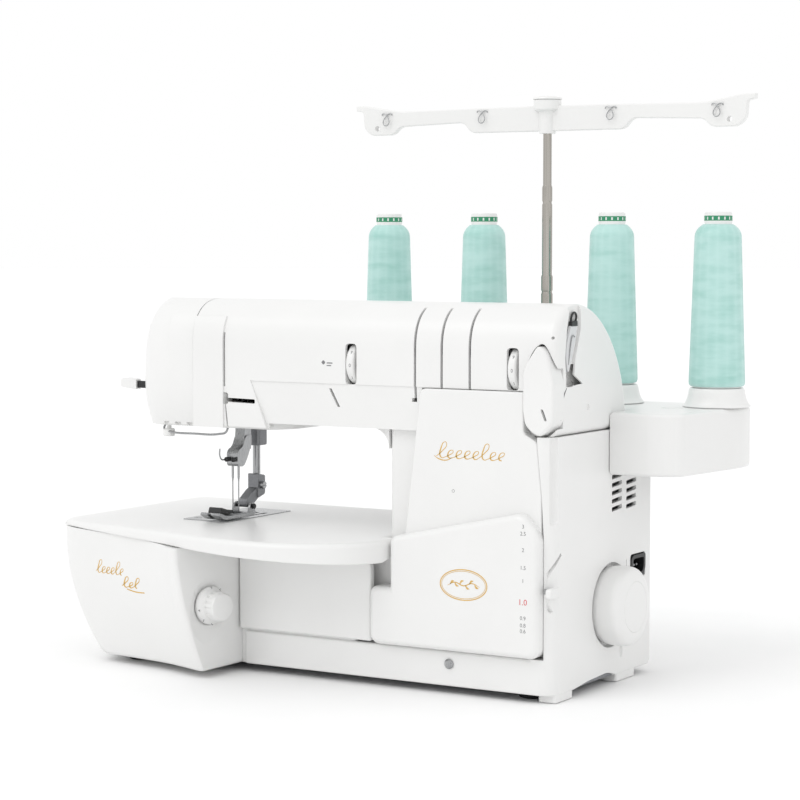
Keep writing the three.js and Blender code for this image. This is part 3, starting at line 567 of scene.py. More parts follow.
# The lip's lower edge climbs to the left, in front of the casing only.
for vertex in bed.data.vertices:
    if vertex.co.z < BED_LIP + 4 and vertex.co.y < 1:
        share = min(1, (1 - vertex.co.y) / 14)
        vertex.co.z += share * (9.5 - 12.5 * (vertex.co.x - BED_LEFT) / 300)
plate_seat = block("plate_seat", (-362.3, 21.7, 116), (-315.7, 118.3, 130), 1.5)
plate_hole = block("plate_hole", (-356, 27, 90), (-320, 113, 130))
bed = cut(bed, plate_seat, plate_hole)
settle(bed, "machine", "white_abs", white_abs, "bed_plate", edge=0.4)

# ---- Front housing under the bed ---------------------------------------------------------------------
# An ABS box below the bed's left half. Its front draws in towards the table, and its right side is
# scooped out around the stitch length dial. A gold foil ornament is printed on its front.
HOUSING_RIGHT = -287
HOUSING_FRONT = -68
DIAL_TILT = Matrix.Rotation(radians(-14), 4, "Z")
DIAL_PLACE = Vector((-292.6, -34.7, 58))
housing_front_edge = smooth_curve(
    [(-451, -14), (-447, -27), (-432, -34.5), (-405, -38.5), (-360, -46), (-330, -55), (-312, -65.5)],
)
housing_outline = [(-449, 1.7)] + housing_front_edge + [(-304.5, -68, 4), (HOUSING_RIGHT, 1.7)]
housing_height = BED_LIP - 0.3 - CASING_BOTTOM
housing = prism("bed_front_housing_shell", housing_outline, "z", 0, housing_height, (0, 0), corner_steps=6)
walls = bmesh.new()
walls.from_mesh(housing.data)
for level in range(1, 14):
    bmesh.ops.bisect_plane(
        walls, geom=walls.verts[:] + walls.edges[:] + walls.faces[:],
        plane_co=(0, 0, housing_height * level / 14), plane_no=(0, 0, 1),
    )
for vertex in walls.verts:
    x, y, z = vertex.co
    low = 1 - z / housing_height
    leftness = max(0, (HOUSING_RIGHT - x) / 166)
    cornerness = max(0, (x + 330) / 26) * max(0, y / HOUSING_FRONT)
    vertex.co.x = x + 34 * low ** 2 * leftness + 12 * low * cornerness
    vertex.co.y = y + 16 * low ** 2 * max(0, (1.7 - y) / 66)
    if z > housing_height - 1e-3:
        vertex.co.z += max(0, min(1, (1 - y) / 14)) * (9.5 - 12.5 * (x - BED_LEFT) / 300)
bmesh.ops.translate(walls, vec=(0, 0, CASING_BOTTOM), verts=walls.verts)
foot_rim = [e for e in walls.edges if all(v.co.z < CASING_BOTTOM + 0.01 for v in e.verts)]
bmesh.ops.bevel(
    walls, geom=foot_rim, offset=3, offset_type="OFFSET", affect="EDGES", segments=4, profile=0.5,
    material=-1,
)
walls.to_mesh(housing.data)
walls.free()
scoop = bmesh.new()
bmesh.ops.create_uvsphere(scoop, u_segments=96, v_segments=64, radius=1)
bmesh.ops.transform(
    scoop,
    matrix=Matrix.Translation(DIAL_PLACE + Vector((0, 0, 2))) @ DIAL_TILT
    @ Matrix.Translation((23, 0, 0)) @ Matrix.Diagonal((27, 38, 50, 1)),
    verts=scoop.verts,
)
dial_seat = lathe(
    "dial_seat", [(0, -22), (5, -22), (5, -3), (16.3, -3), (16.3, 12), (0, 12)], "x", DIAL_PLACE, 64,
    DIAL_TILT,
)
housing = cut(housing, make("scoop", scoop), dial_seat)
settle(housing, "machine", "white_abs", white_abs, "bed_front_housing", edge=0.4)


def wire(name, points, radius, widths=None):
    """A round wire or pen stroke along a path, with closed ends."""
    line = bpy.data.curves.new(name, "CURVE")
    line.dimensions = "3D"
    line.bevel_depth = radius
    line.bevel_resolution = 3
    line.use_fill_caps = True
    line.resolution_u = 8
    knots = line.splines.new("BEZIER").bezier_points
    knots.add(len(points) - 1)
    for knot, point in zip(knots, points):
        knot.co = point
        knot.handle_left_type = knot.handle_right_type = "AUTO"
    for knot, width in zip(knots, widths or []):
        knot.radius = width
    drawn = add_object("drawn", line)
    bpy.context.view_layer.update()
    data = bpy.data.meshes.new_from_object(drawn.evaluated_get(bpy.context.evaluated_depsgraph_get()))
    bpy.data.objects.remove(drawn)
    mesh = bmesh.new()
    mesh.from_mesh(data)
    return make(name, mesh)


def gather(name, *parts):
    """Several drawn pieces as one object."""
    mesh = bmesh.new()
    for part in parts:
        mesh.from_mesh(part.data)
        bpy.data.objects.remove(part)
    data = bpy.data.meshes.new(name)
    mesh.to_mesh(data)
    mesh.free()
    return add_object(name, data)


def lay_on(print_, base, lift=0.08):
    """Lays a flat print, drawn facing the front, on the surface behind it. base is already in place."""
    surface = base.evaluated_get(bpy.context.evaluated_depsgraph_get())
    tree = BVHTree.FromObject(surface, bpy.context.evaluated_depsgraph_get())
    for vertex in print_.data.vertices:
        start = TO_ROW @ Vector((vertex.co.x, -140, vertex.co.z))
        hit = tree.ray_cast(start, Vector((0, 1, 0)))[0]
        if hit:
            height = lift if vertex.co.y < 0 else -0.1
            vertex.co.y = (TO_ROW.inverted() @ hit).y - height
    return print_


# Hot-stamped gold foil: a thin bright metal film, slightly worn and grained.
gold, tree, shader = new_finish("hot_stamped_gold_foil", Metallic=0.55)
place = add_node(tree, "ShaderNodeTexCoord").outputs["Object"]
foil_grain = add_node(
    tree, "ShaderNodeTexNoise", {"Vector": place, "Scale": 1000 / 1.5, "Detail": 3},
).outputs[0]
foil_colour = add_node(
    tree, "ShaderNodeMix", {0: foil_grain, 6: linear("#c79a45"), 7: linear("#e6c684")}, data_type="RGBA",
)
tree.links.new(foil_colour.outputs[2], shader.inputs["Base Color"])
foil_roughness = add_node(tree, "ShaderNodeMapRange", {"Value": foil_grain, "To Min": 0.3, "To Max": 0.5})
tree.links.new(foil_roughness.outputs[0], shader.inputs["Roughness"])


def flourish(left, low, width, height, loops, pen, slant=0.35):
    """A pen stroke of leaning loops, drawn facing the front: an ornament, not letters."""
    points, widths = [], []
    step = width / loops
    for loop in range(loops):
        grow = 1.0 if loop in (0, loops // 2 + 1) else 0.5
        x0 = left + step * loop
        for along, up, width_share in (
            (0.0, 0.1, 0.6), (0.45, 0.35, 0.9), (0.85, 0.9, 0.7), (0.6, 1.0, 0.6), (0.3, 0.6, 1.3),
            (0.45, 0.12, 1.5), (0.75, 0.0, 0.8),
        ):
            rise = height * grow * up
            points.append((x0 + step * along * 0.95 + slant * rise, 0, low + rise))
            widths.append(width_share)
    return wire("stroke", points, pen, widths=widths)


housing_ornament = gather(
    "housing_ornament",
    flourish(-408, 77, 32, 11, 6, 0.42),
    flourish(-378, 67.5, 20, 9, 3, 0.55),
    wire("stroke", [(-372, 0, 66.0), (-362, 0, 64.6), (-351, 0, 64.8)], 0.5),
)
settle(lay_on(housing_ornament, housing), "machine", "white_abs", gold)

# ---- Stitch length dial ------------------------------------------------------------------------------
# A white ABS dial on a steel spindle in the scooped side. Its flange carries grey printed numbers,
# and its grip is a plain drum with shallow finger flutes.


def numeral(text, size, matrix, thickness=0.12):
    """A printed figure, drawn upright in the XY plane, as a thin solid moved by a matrix."""
    letters = bpy.data.curves.new("figure", "FONT")
    letters.body = text
    letters.size = size
    letters.extrude = thickness / 2
    letters.resolution_u = 3
    letters.align_x = "CENTER"
    letters.align_y = "CENTER"
    drawn = add_object("figure", letters)
    bpy.context.view_layer.update()
    data = bpy.data.meshes.new_from_object(drawn.evaluated_get(bpy.context.evaluated_depsgraph_get()))
    bpy.data.objects.remove(drawn)
    data.transform(matrix)
    mesh = bmesh.new()
    mesh.from_mesh(data)
    return make("figure", mesh)


def ink(name, code, low_roughness=0.4):
    """Pad-printed ink: an even colour, a little matt, with the dots of the print's edge."""
    material, tree, shader = new_finish(name, IOR=1.5)
    place = add_node(tree, "ShaderNodeTexCoord").outputs["Object"]
    dots = add_node(
        tree, "ShaderNodeTexNoise", {"Vector": place, "Scale": 1000 / 0.6, "Detail": 2},
    ).outputs[0]
    value = add_node(tree, "ShaderNodeMapRange", {"Value": dots, "To Min": 0.9, "To Max": 1.1}).outputs[0]
    shade = add_node(tree, "ShaderNodeHueSaturation", {"Color": linear(code), "Value": value})
    tree.links.new(shade.outputs[0], shader.inputs["Base Color"])
    matt = add_node(
        tree, "ShaderNodeMapRange",
        {"Value": dots, "To Min": low_roughness, "To Max": low_roughness + 0.15},
    )
    tree.links.new(matt.outputs[0], shader.inputs["Roughness"])
    return material


grey_ink = ink("grey_pad_print", "#7b7b7d")
FLUTES = 16
dial = lathe(
    "stitch_length_dial_knob",
    [
        (0, -14), (4, -14), (4, -2), (13, -2), (15.2, -1.2), (15.4, 1.2), (12.6, 4.6), (12.1, 5.2),
        (11.6, 13.4), (10.6, 15), (8, 15.8), (0, 16.1),
    ],
    "x", DIAL_PLACE, 96, DIAL_TILT,
)
flutes = [
    lathe(
        "flute", [(0, 7), (1.1, 7), (1.1, 17), (0, 17)], "x",
        DIAL_PLACE + DIAL_TILT @ Vector((0, 12.3 * cos(a), 12.3 * sin(a))), 12, DIAL_TILT,
    )
    for a in [2 * pi * i / FLUTES for i in range(FLUTES)]
]
dial = cut(dial, *flutes)
settle(dial, "stitch_length_dial", "white_abs", white_abs, "stitch_length_dial", edge=0.2)
dial_figures = []
for place_number, figure in enumerate("43210567"):
    angle = radians(100 + 38 * place_number)
    facing = Matrix.Translation(DIAL_PLACE) @ DIAL_TILT @ Matrix.Rotation(angle, 4, "X")
    # Each figure stands on the flange's slope, its top away from the grip.
    tilted = Matrix(((0, 0, 0.77, 0), (1, 0, 0, 0), (0, 1, 0.64, 0), (0, 0, 0, 1)))
    dial_figures.append(numeral(figure, 4.4, facing @ Matrix.Translation((3.0, 0, 13.95)) @ tilted))
settle(gather("stitch_length_numbers", *dial_figures), "stitch_length_dial", "black_plastic", grey_ink)

# ---- Looper cover panel ------------------------------------------------------------------------------
# A flat white ABS panel between the housing and the front cover, its top right corner rounded under
# the bed. A dark gap shows below it.
panel = prism(
    "looper_cover_panel_moulding",
    [(-286, 36), (-159.6, 36, 2), (-159.6, 102, 9), (-286, 102)],
    "y", -4, 1.7, (1.8, 0), corner_steps=8,
)
settle(panel, "machine", "white_abs", white_abs, "looper_cover_panel", edge=0.3)

# ---- Arm and face cover ------------------------------------------------------------------------------
# The arm is a long ABS shell with a rounded back and front, and a raised band beside its left thread
# slot. Its left end is a separate face cover. Thread slots and dial slots are moulded through.
ARM_LEFT = -411
ARM_TOP = 304
ARM_BACK = 128
HEAD_BOTTOM = 198
CREASE = 238.5


def arm_outline(grow=0.0):
    """The arm's outline from its side: front, over the top, and down the long back slope."""
    front, top, back = 3 - grow, ARM_TOP + grow, ARM_BACK + grow
    over_front = interpolate_bezier(
        Vector((front, 268, 0)), Vector((front, 292, 0)), Vector((18 - grow, top, 0)), Vector((42, top, 0)),
        20,
    )
    down_back = interpolate_bezier(
        Vector((42, top, 0)), Vector((84, top, 0)), Vector((back, 262, 0)), Vector((back, ARM_BOTTOM, 0)),
        30,
    )
    curve = [(point.x, point.y) for point in over_front[:-1] + down_back]
    return [(front, ARM_BOTTOM, 0), (front, 262)] + curve


arm = prism("arm_shell", arm_outline(), "x", ARM_LEFT, 0, (14, 8), rim_steps=10)
head_base = prism(
    "head_base",
    [(-399, 10, 6), (-264, 10, 3), (-250, 30, 8), (-250, 112, 10), (-399, 116, 10)],
    "z", HEAD_BOTTOM, ARM_BOTTOM + 8, (3, 0), corner_steps=6,
)
head_chin = prism(
    "head_chin", [(-401, HEAD_BOTTOM + 1.5, 6), (-262, HEAD_BOTTOM + 1.5, 2), (-270, 240), (-401, 240)],
    "y", 3, 60, (2, 0),
)
arm = join(arm, head_base, head_chin)
# Below the crease the arm's front leans back, from a slanted line beside the head.
lean = prism(
    "lean", [(-12, CREASE), (3.9, CREASE), (6.6, ARM_BOTTOM - 10), (-12, ARM_BOTTOM - 10)], "x", -279, 10,
)
for vertex in lean.data.vertices:
    if vertex.co.x < -278 and vertex.co.z < ARM_BOTTOM:
        vertex.co.x = -261
# The head's front left corner, seen from above, is rounded far more than its other edges.
HEAD_BULGE = [
    (190, 41.5), (198, 44), (206, 46.6), (215, 48.6), (225, 49.7), (235, 50), (250, 49.8), (262, 49),
    (272, 47.6), (281, 45.4), (289, 42), (296, 37.5), (301, 32.5), (304.5, 27), (310, 20),
]


def head_corner(thinner):
    """What lies outside the head's round, bulging corner, as a tool to cut with."""
    corner = block("head_corner", (ARM_LEFT - 2, -2, 191), (ARM_LEFT + 50, 53, 309))
    bulge = lathe(
        "head_bulge", [(0, 190)] + [(radius - thinner, z) for z, radius in HEAD_BULGE] + [(0, 310)],
        "z", (ARM_LEFT + 50, 53, 0), 160,
    )
    return cut(corner, bulge)


FACE_EDGE = -336
arm = cut(arm, lean)
arm = cut(arm, head_corner(0))
left_end = [(ARM_LEFT + 50.05 - radius, z) for z, radius in HEAD_BULGE] + [
    (ARM_LEFT - 4, 310), (ARM_LEFT - 4, 190),
]
arm = cut(arm, prism("left_end", left_end, "y", 53, 140))
face = add_object("face_cover_shell", arm.data.copy())
arm = cut(arm, block("left_part", (-450, -30, 180), (FACE_EDGE + 0.5, 160, 320)))
face = cut(face, block("right_part", (FACE_EDGE - 0.6, -30, 180), (20, 160, 320)))
face_lean = [(-6, 236)] + [(53 - radius, z) for z, radius in reversed(HEAD_BULGE[:6])] + [(-6, 190)]
face = cut(face, prism("face_lean", face_lean, "x", ARM_LEFT + 50, FACE_EDGE + 5))
hollow_outline = [(10, 208), (10, 258)] + [
    (y * 0.94 + 3.2, z - 3.2) for y, z in arm_outline()[2:] if z > 214
] + [(121, 208)]
passage = block("passage", (-168, 20, 195), (-20, 120, 212))
bar_opening = block("bar_opening", (-339, 44, 190), (-315, 94, 215), 4)
arm = cut(arm, prism("hollow", hollow_outline, "x", -345, -14), passage, bar_opening)
DIALS = {"tension_dial_left": -182, "tension_dial_right": -36.4}
DIAL_Y = 17
DIAL_Z = 254.5
dial_slots = [
    prism(
        "dial_slot",
        [
            (x - 5.2, DIAL_Z - 16.2, 3), (x + 5.2, DIAL_Z - 16.2, 3), (x + 5.2, DIAL_Z + 16.2, 3),
            (x - 5.2, DIAL_Z + 16.2, 3),
        ],
        "y", -6, 30, corner_steps=4,
    )
    for x in DIALS.values()
]
thread_slots = []
for x in (-123, -99, -74):
    slot_cut = block("thread_slot", (x - 1.1, -3, 228 if x == -123 else 232), (x + 1.1, 21, 310))
    thread_slots.append(slot_cut)
thread_slots.append(block("slot_hook", (-126.5, -3, 226.5), (-121.9, 10, 229.5)))
PORT_LEFT, PORT_RIGHT = -25, 1


def port_outline(grow):
    """The port cover's outline from the front: a thumb with a pointed top."""
    left, right = PORT_LEFT - grow, PORT_RIGHT + grow
    crown = smooth_curve(
        [
            (left, 252), (left + 3, 259), (left + 8, 267 + grow), (-12, 272.5 + grow), (-6, 268 + grow),
            (right - 3, 256), (right, 244),
        ],
    )
    chin = smooth_curve(
        [(right, 224), (right - 2, 213 - grow), (-11, 205 - grow), (left + 3, 212 - grow), (left, 224)],
    )
    return crown + chin


port_cut = prism("port_cut", port_outline(1.9), "y", -12, 16)
take_up_slot = block("take_up_slot", (-7.4, 12.5, 236), (-1.4, 62, 258), 1.5)
take_up_notch = prism(
    "take_up_notch",
    [(19, 263), (22, 241), (33, 241), (36, 262), (45, 284), (45, 312), (30, 312), (22, 286)], "x", -2.6, 3,
)
side_window = prism("side_window", [(21, 241, 1), (49, 242.5, 1), (33, 250.5, 3), (21, 262, 1)], "x", -8, 3)
cover_top = prism(
    "cover_top", [(-122.9, 190), (-14, 190), (-14, 205), (-21, 212), (-25, 216), (-25, 238), (-117.1, 238)],
    "y", -12, 10.4,
)
bar_slot = prism(
    "bar_slot", [(-306, 220.3, 1), (-274.5, 219.6, 1), (-274.5, 223.2, 1), (-306, 223.8, 1)], "y", -6, 14,
    corner_steps=3,
)
guide_slots = [
    prism("guide_slot", [(-203.5, 234.5), (-201, 234.5), (-193.5, 220), (-196, 220)], "y", -6, 14),
    prism("hook_cut", [(-307, 218.5, 3), (-301, 218.5, 2), (-301, 228, 2), (-307, 228, 2)], "y", -6, 9),
    prism("lower_slot", [(-304.5, 219), (-303.4, 219), (-300.4, 195), (-302, 195)], "y", -6, 8),
]
notches = [block("notch", (x - 3, 5, 190), (x + 3, 12.5, 201.5), 1) for x in (-368, -356, -344)]
dimple = lathe("dimple", [(0, -1.5), (2, -1.2), (3.1, 1), (0, 1)], "x", (0, 58, 224), 24)
pin_hole = lathe("pin_hole", [(0, 8), (1.2, 8), (1.2, -2), (0, -2)], "y", (-3.2, 0, 279), 16)
arm = cut(arm, take_up_notch)
arm = cut(arm, port_cut, take_up_slot, cover_top, side_window, dimple, pin_hole, bar_slot, *guide_slots)
arm = cut(arm, *dial_slots)
arm = cut(arm, *thread_slots)
band_limits = block("band_limits", (-335.4, -10, 196), (-305.4, 16, 290), 1)
band = keep(prism("face_band", arm_outline(1.5), "x", -335.4, -305.4, (1.2, 1.2), rim_steps=4), band_limits)
band_floor = block("band_floor", (-335.4, 1.5, HEAD_BOTTOM + 1), (-305.4, 6, 212), 0)
band = join(band, band_floor)
arm = join(arm, band)
# A fillet under the arm eases it into the pillar's left side.
HAUNCH = 16
fillet_right = PILLAR_LEFT - 0.4
fillet = [
    (fillet_right - HAUNCH * (1 - cos(a)), ARM_BOTTOM - HAUNCH * (1 - sin(a)))
    for a in [pi / 2 * i / 12 for i in range(13)]
]
fillet += [(fillet_right - HAUNCH, ARM_BOTTOM + 1.5), (fillet_right, ARM_BOTTOM + 1.5)]
arm = join(arm, prism("fillet", fillet, "y", 12.6, 117))
thread_slot = block("face_thread_slot", (-305.4, -5, 233), (-304.0, 14, 277))
arm = cut(arm, thread_slot)
lifter_slot = block("lifter_slot", (ARM_LEFT - 10, 35, 221), (ARM_LEFT + 30, 45, 261), 2)
face_bar_opening = block("face_bar_opening", (-339, 44, 190), (-315, 94, 215), 4)
face_hollow = cut(prism("hollow", hollow_outline, "x", -395, -330), head_corner(4))
face = cut(face, face_hollow)
face = cut(face, lifter_slot, face_bar_opening, *notches)
settle(arm, "machine", "white_abs", white_abs, "arm_casing", edge=0.3)
settle(face, "machine", "white_abs", white_abs, "face_cover", edge=0.3)
arm_marks = gather(
    "arm_prints",
    prism(
        "mark", [(-210, 255.2, 0.8), (-208, 253.2, 0.8), (-206, 255.2, 0.8), (-208, 257.2, 0.8)], "y", -0.3,
        0.3,
    ),
    prism("mark", [(-204.8, 254.4), (-199.4, 254.4), (-199.4, 255.3), (-204.8, 255.3)], "y", -0.3, 0.3),
    prism("mark", [(-204.8, 252.4), (-200.6, 252.4), (-200.6, 253.2), (-204.8, 253.2)], "y", -0.3, 0.3),
)
settle(lay_on(arm_marks, arm), "machine", "black_plastic", grey_ink)

# ---- Threading port cover --------------------------------------------------------------------------
# A thumb-shaped ABS cap in the arm's right front corner, well rounded, that stands a little proud of
# the arm. A slanted slot in it takes the thread hook.
port = prism("threading_port_cap", port_outline(0), "y", -3.2, 15.5, (9, 0), rim_steps=10)
hook_slot = prism(
    "hook_slot", [(-9.5, 225.5, 1), (-7.3, 225.5, 1), (-3.8, 216.5, 1), (-6, 216.5, 1)], "y", -9, 4,
    corner_steps=3,
)
port = cut(port, hook_slot)
settle(port, "machine", "white_abs", white_abs, "threading_port_cover", edge=0.25)
port_seam = wire(
    "port_side_seam", [(0.05, 22, 240.5), (0.05, 17, 235), (0.05, 13.5, 226), (0.05, 12, 216)], 0.55,
    widths=[0.4, 1.2, 1, 0.5],
)
settle(port_seam, "machine", "black_plastic", grey_ink)

# ---- Front cover -----------------------------------------------------------------------------------
# The hinged ABS door over the loopers. Its upper half is flat and its lower half is fuller, with a
# slanted crease between them. It carries a gold flourish, an oval gold badge and a printed scale.
door = prism(
    "front_cover_door",
    [
        (-116.5, 237.6, 4), (-131, 118), (-9.8, 118), (-10, 160), (-14, 200, 3), (-25.6, 206, 3),
        (-25.6, 237.6, 2),
    ],
    "y", 0, 10, (1.5, 0), corner_steps=5,
)
door_lower = prism(
    "door_lower",
    [
        (-158.6, 81, 6), (-140, 81), (-140, 121, 6), (-22, 146.4, 6.5), (-8.3, 130, 6.5), (-8.3, 35.2, 8),
        (-158.6, 35.2, 8),
    ],
    "y", -9, 10, (5, 0), rim_steps=8, corner_steps=8,
)
door = join(door, door_lower)
settle(door, "front_cover", "white_abs", white_abs, "front_cover", edge=0.3)
door_mark = wire(
    "latch_mark",
    [(-86.6 + 1.1 * cos(a), 0, 159.2 + 1.1 * sin(a)) for a in [2 * pi * i / 12 for i in range(13)]], 0.16,
)
settle(lay_on(door_mark, door, 0.05), "front_cover", "white_abs", grey_ink)
door_flourish = gather(
    "door_flourish", flourish(-102, 184.5, 60, 12.5, 8, 0.42, slant=0.3),
    wire(
        "stroke", [(-104, 0, 186), (-99, 0, 183.4), (-92, 0, 183), (-88, 0, 185)], 0.4,
        widths=[0.4, 1.2, 1, 0.4],
    ),
)
settle(lay_on(door_flourish, door), "front_cover", "white_abs", gold)
oval = [(-72.3 + 20.6 * cos(a), 0, 88.2 + 11.8 * sin(a)) for a in [2 * pi * i / 40 for i in range(41)]]
inner_oval = [
    (-72.3 + 19.3 * cos(a), 0, 88.2 + 10.6 * sin(a)) for a in [2 * pi * i / 40 for i in range(41)]
]
badge = gather(
    "door_badge", wire("ring", oval, 0.45), wire("ring", inner_oval, 0.22),
    wire(
        "vine", [(-86.5, 0, 87), (-80, 0, 89.8), (-72.3, 0, 87.6), (-64.6, 0, 89.8), (-58.2, 0, 87.4)], 0.4,
        widths=[0.4, 1, 1.2, 1, 0.4],
    ),
    *[
        wire(
            "bud", [(x, 0, z), (x + 1.6, 0, z + side * 2.2), (x + 3.4, 0, z + side * 2.6)], 0.75,
            widths=[0.4, 1.2, 0.3],
        )
        for x, z, side in (
            (-84, 88.2, 1), (-80, 89.6, -1), (-75.5, 88.8, 1), (-70.5, 88, -1), (-67, 89.2, 1),
            (-62.5, 89, -1),
        )
    ],
)
settle(lay_on(badge, door), "front_cover", "white_abs", gold)
red_ink = ink("red_pad_print", "#d24a50")
SCALE = [
    (136.4, "3"), (131.0, "2.5"), (118.5, "2"), (105.0, "1.5"), (95.0, "1"), (66.5, "0.9"), (61.0, "0.8"),
    (56.6, "0.6"),
]
facing_front = Matrix(((1, 0, 0, 0), (0, 0, 1, 0), (0, 1, 0, 0), (0, 0, 0, 1)))
scale_figures = [
    numeral(text, 4.2, Matrix.Translation((-20.6, -0.02, z)) @ facing_front) for z, text in SCALE
]
settle(lay_on(gather("feed_scale", *scale_figures), door, 0.06), "front_cover", "black_plastic", grey_ink)
neutral = numeral("1.0", 6.4, Matrix.Translation((-20.8, -0.02, 78.6)) @ facing_front)
settle(lay_on(gather("feed_scale_neutral", neutral), door, 0.06), "front_cover", "black_plastic", red_ink)

# ---- Tension dials ---------------------------------------------------------------------------------
# Two white ABS thumbwheels that stand a little out of their slots, with fine ribs at one edge of their
# rims and grey printed figures beside the ribs.
TENSION_RADIUS = 17
RIBS = 32
FIGURES = 10
for number, (name, x) in enumerate(DIALS.items()):
    wheel = lathe(
        name + "_wheel",
        [
            (0, -3.4), (15.4, -3.4), (16.4, -3), (TENSION_RADIUS, -2.2), (TENSION_RADIUS, 2.2), (16.4, 3),
            (15.4, 3.4), (0, 3.4),
        ],
        "x", (x, DIAL_Y, DIAL_Z), 96,
    )
    ribs = [
        block("rib", (x - 4, DIAL_Y - 17.6, DIAL_Z - 0.22), (x - 1.6, DIAL_Y - 16.5, DIAL_Z + 0.22))
        for _ in range(RIBS)
    ]
    for turn_number, rib in enumerate(ribs):
        pivot = Matrix.Translation((0, DIAL_Y, DIAL_Z))
        rib.data.transform(pivot @ Matrix.Rotation(2 * pi * turn_number / RIBS, 4, "X") @ pivot.inverted())
    wheel = cut(wheel, *ribs)
    settle(wheel, name, "white_abs", white_abs, name, edge=0.15)
    figures = []
    for i in range(FIGURES):
        angle = 2 * pi * i / FIGURES + 0.06
        upright = Matrix.Translation((x + 0.8, DIAL_Y, DIAL_Z)) @ Matrix.Rotation(angle, 4, "X")
        figures.append(
            numeral(str(i), 4.0, upright @ Matrix.Translation((0, -TENSION_RADIUS, 0)) @ facing_front),
        )
    settle(gather(name + "_numbers", *figures), name, "black_plastic", grey_ink)

# ---- Handwheel -------------------------------------------------------------------------------------
# A moulded ABS wheel with a softly domed face, pressed on the main shaft. It sits in a round recess,
# and a fine ring is grooved into its face.
wheel_arc = interpolate_bezier(
    Vector((31.5, 13, 0)), Vector((31.5, 18.5, 0)), Vector((28.5, 20.6, 0)), Vector((22, 21.2, 0)), 10,
)
handwheel = lathe(
    "handwheel_rim",
    [(0, -2.6), (28, -2.6), (30.4, -2.2), (30.9, -1), (31.5, 4)] + [(p.x, p.y) for p in wheel_arc] + [
        (12, 21.6), (0, 21.7),
    ],
    "x", (0, SHAFT_Y, SHAFT_Z), 96,
)
wheel_ring = lathe(
    "wheel_ring", [(20.0, 20.9), (20.4, 22), (19.6, 22)] + [(20.0, 20.9)], "x", (0, SHAFT_Y, SHAFT_Z), 96,
)
handwheel = cut(handwheel, wheel_ring)
settle(handwheel, "handwheel", "white_abs", white_abs, "handwheel", crease=50)

# ---- Differential feed lever -----------------------------------------------------------------------
# A white ABS knob on a steel arm, which turns on a pin behind the casing's right side. The stem
# between them runs in the curved slot there.
slot_y = LEVER_Y - LEVER_RADIUS
lever_knob = prism(
    "feed_lever_knob",
    [(slot_y - 13, 83.2, 2.5), (slot_y + 2, 83.2, 1.2), (slot_y + 2, 90.8, 1.2), (slot_y - 13, 90.8, 2.5)],
    "x", 0.6, 5.4, (0.8, 1.4),
)
settle(lever_knob, "differential_feed_lever", "white_abs", white_abs, edge=0.2)
lever_arm = gather(
    "feed_lever_arm",
    block("arm", (-6.6, slot_y - 1.5, LEVER_Z - 2), (-3.8, LEVER_Y, LEVER_Z + 2), 0.8),
    block("stem", (-5, slot_y - 1.3, LEVER_Z - 1.6), (1.2, slot_y + 1.3, LEVER_Z + 1.6), 0.8),
    lathe("hub", [(0, -6.6), (6, -6.6), (6, -3.8), (0, -3.8)], "x", (0, LEVER_Y, LEVER_Z), 32),
)
settle(lever_arm, "differential_feed_lever", "machined_steel", steel, "differential_feed_lever", edge=0.15)

# ---- Take-up lever ---------------------------------------------------------------------------------
# A stamped lever painted pale grey, with a bright thread hook at its waist and a black-coated eye at
# its tip. It swings in a notch in the arm's top right corner.
pale_paint = moulded("pale_grey_enamel", "#d9dadb", "#cfd0d2", 0.32, 0.42)
black_plastic = moulded("black_moulded_plastic", "#1d1d1f", "#161617", 0.34, 0.48)
TAKE_UP_X = -1
lever_plate = prism(
    "take_up_lever_plate",
    [
        (22.5, 255, 1), (25, 252, 1), (29, 260, 3), (36.5, 276, 4), (38.5, 288, 1.5), (28.6, 288, 1.5),
        (21, 272, 4), (20.5, 264, 4),
    ],
    "x", TAKE_UP_X - 1.2, TAKE_UP_X + 1.2, (0.8, 0.8), rim_steps=3,
)
settle(lever_plate, "take_up_lever", "machined_steel", pale_paint, "take_up_lever")
lever_eye = gather(
    "take_up_lever_eye",
    prism(
        "collar", [(28.4, 287, 0.8), (38.8, 287, 0.8), (38.4, 291.4, 0.8), (29.4, 290.8, 0.8)], "x",
        TAKE_UP_X - 1.7, TAKE_UP_X + 1.7, (0.6, 0.6), rim_steps=2,
    ),
    wire(
        "eye",
        [
            (TAKE_UP_X, 30.4, 290), (TAKE_UP_X, 31.2, 294.6), (TAKE_UP_X, 35.6, 297.4),
            (TAKE_UP_X, 39, 295), (TAKE_UP_X, 37.6, 290),
        ],
        0.9,
    ),
)
settle(lever_eye, "take_up_lever", "machined_steel", black_plastic)
lever_hook = wire(
    "take_up_lever_hook",
    [
        (TAKE_UP_X + 1.4, 34, 279), (TAKE_UP_X + 1.7, 30, 280), (TAKE_UP_X + 1.7, 27.4, 275),
        (TAKE_UP_X + 1.5, 25.4, 266), (TAKE_UP_X + 1.2, 24, 258),
    ],
    0.5,
)
settle(lever_hook, "take_up_lever", "machined_steel", steel)

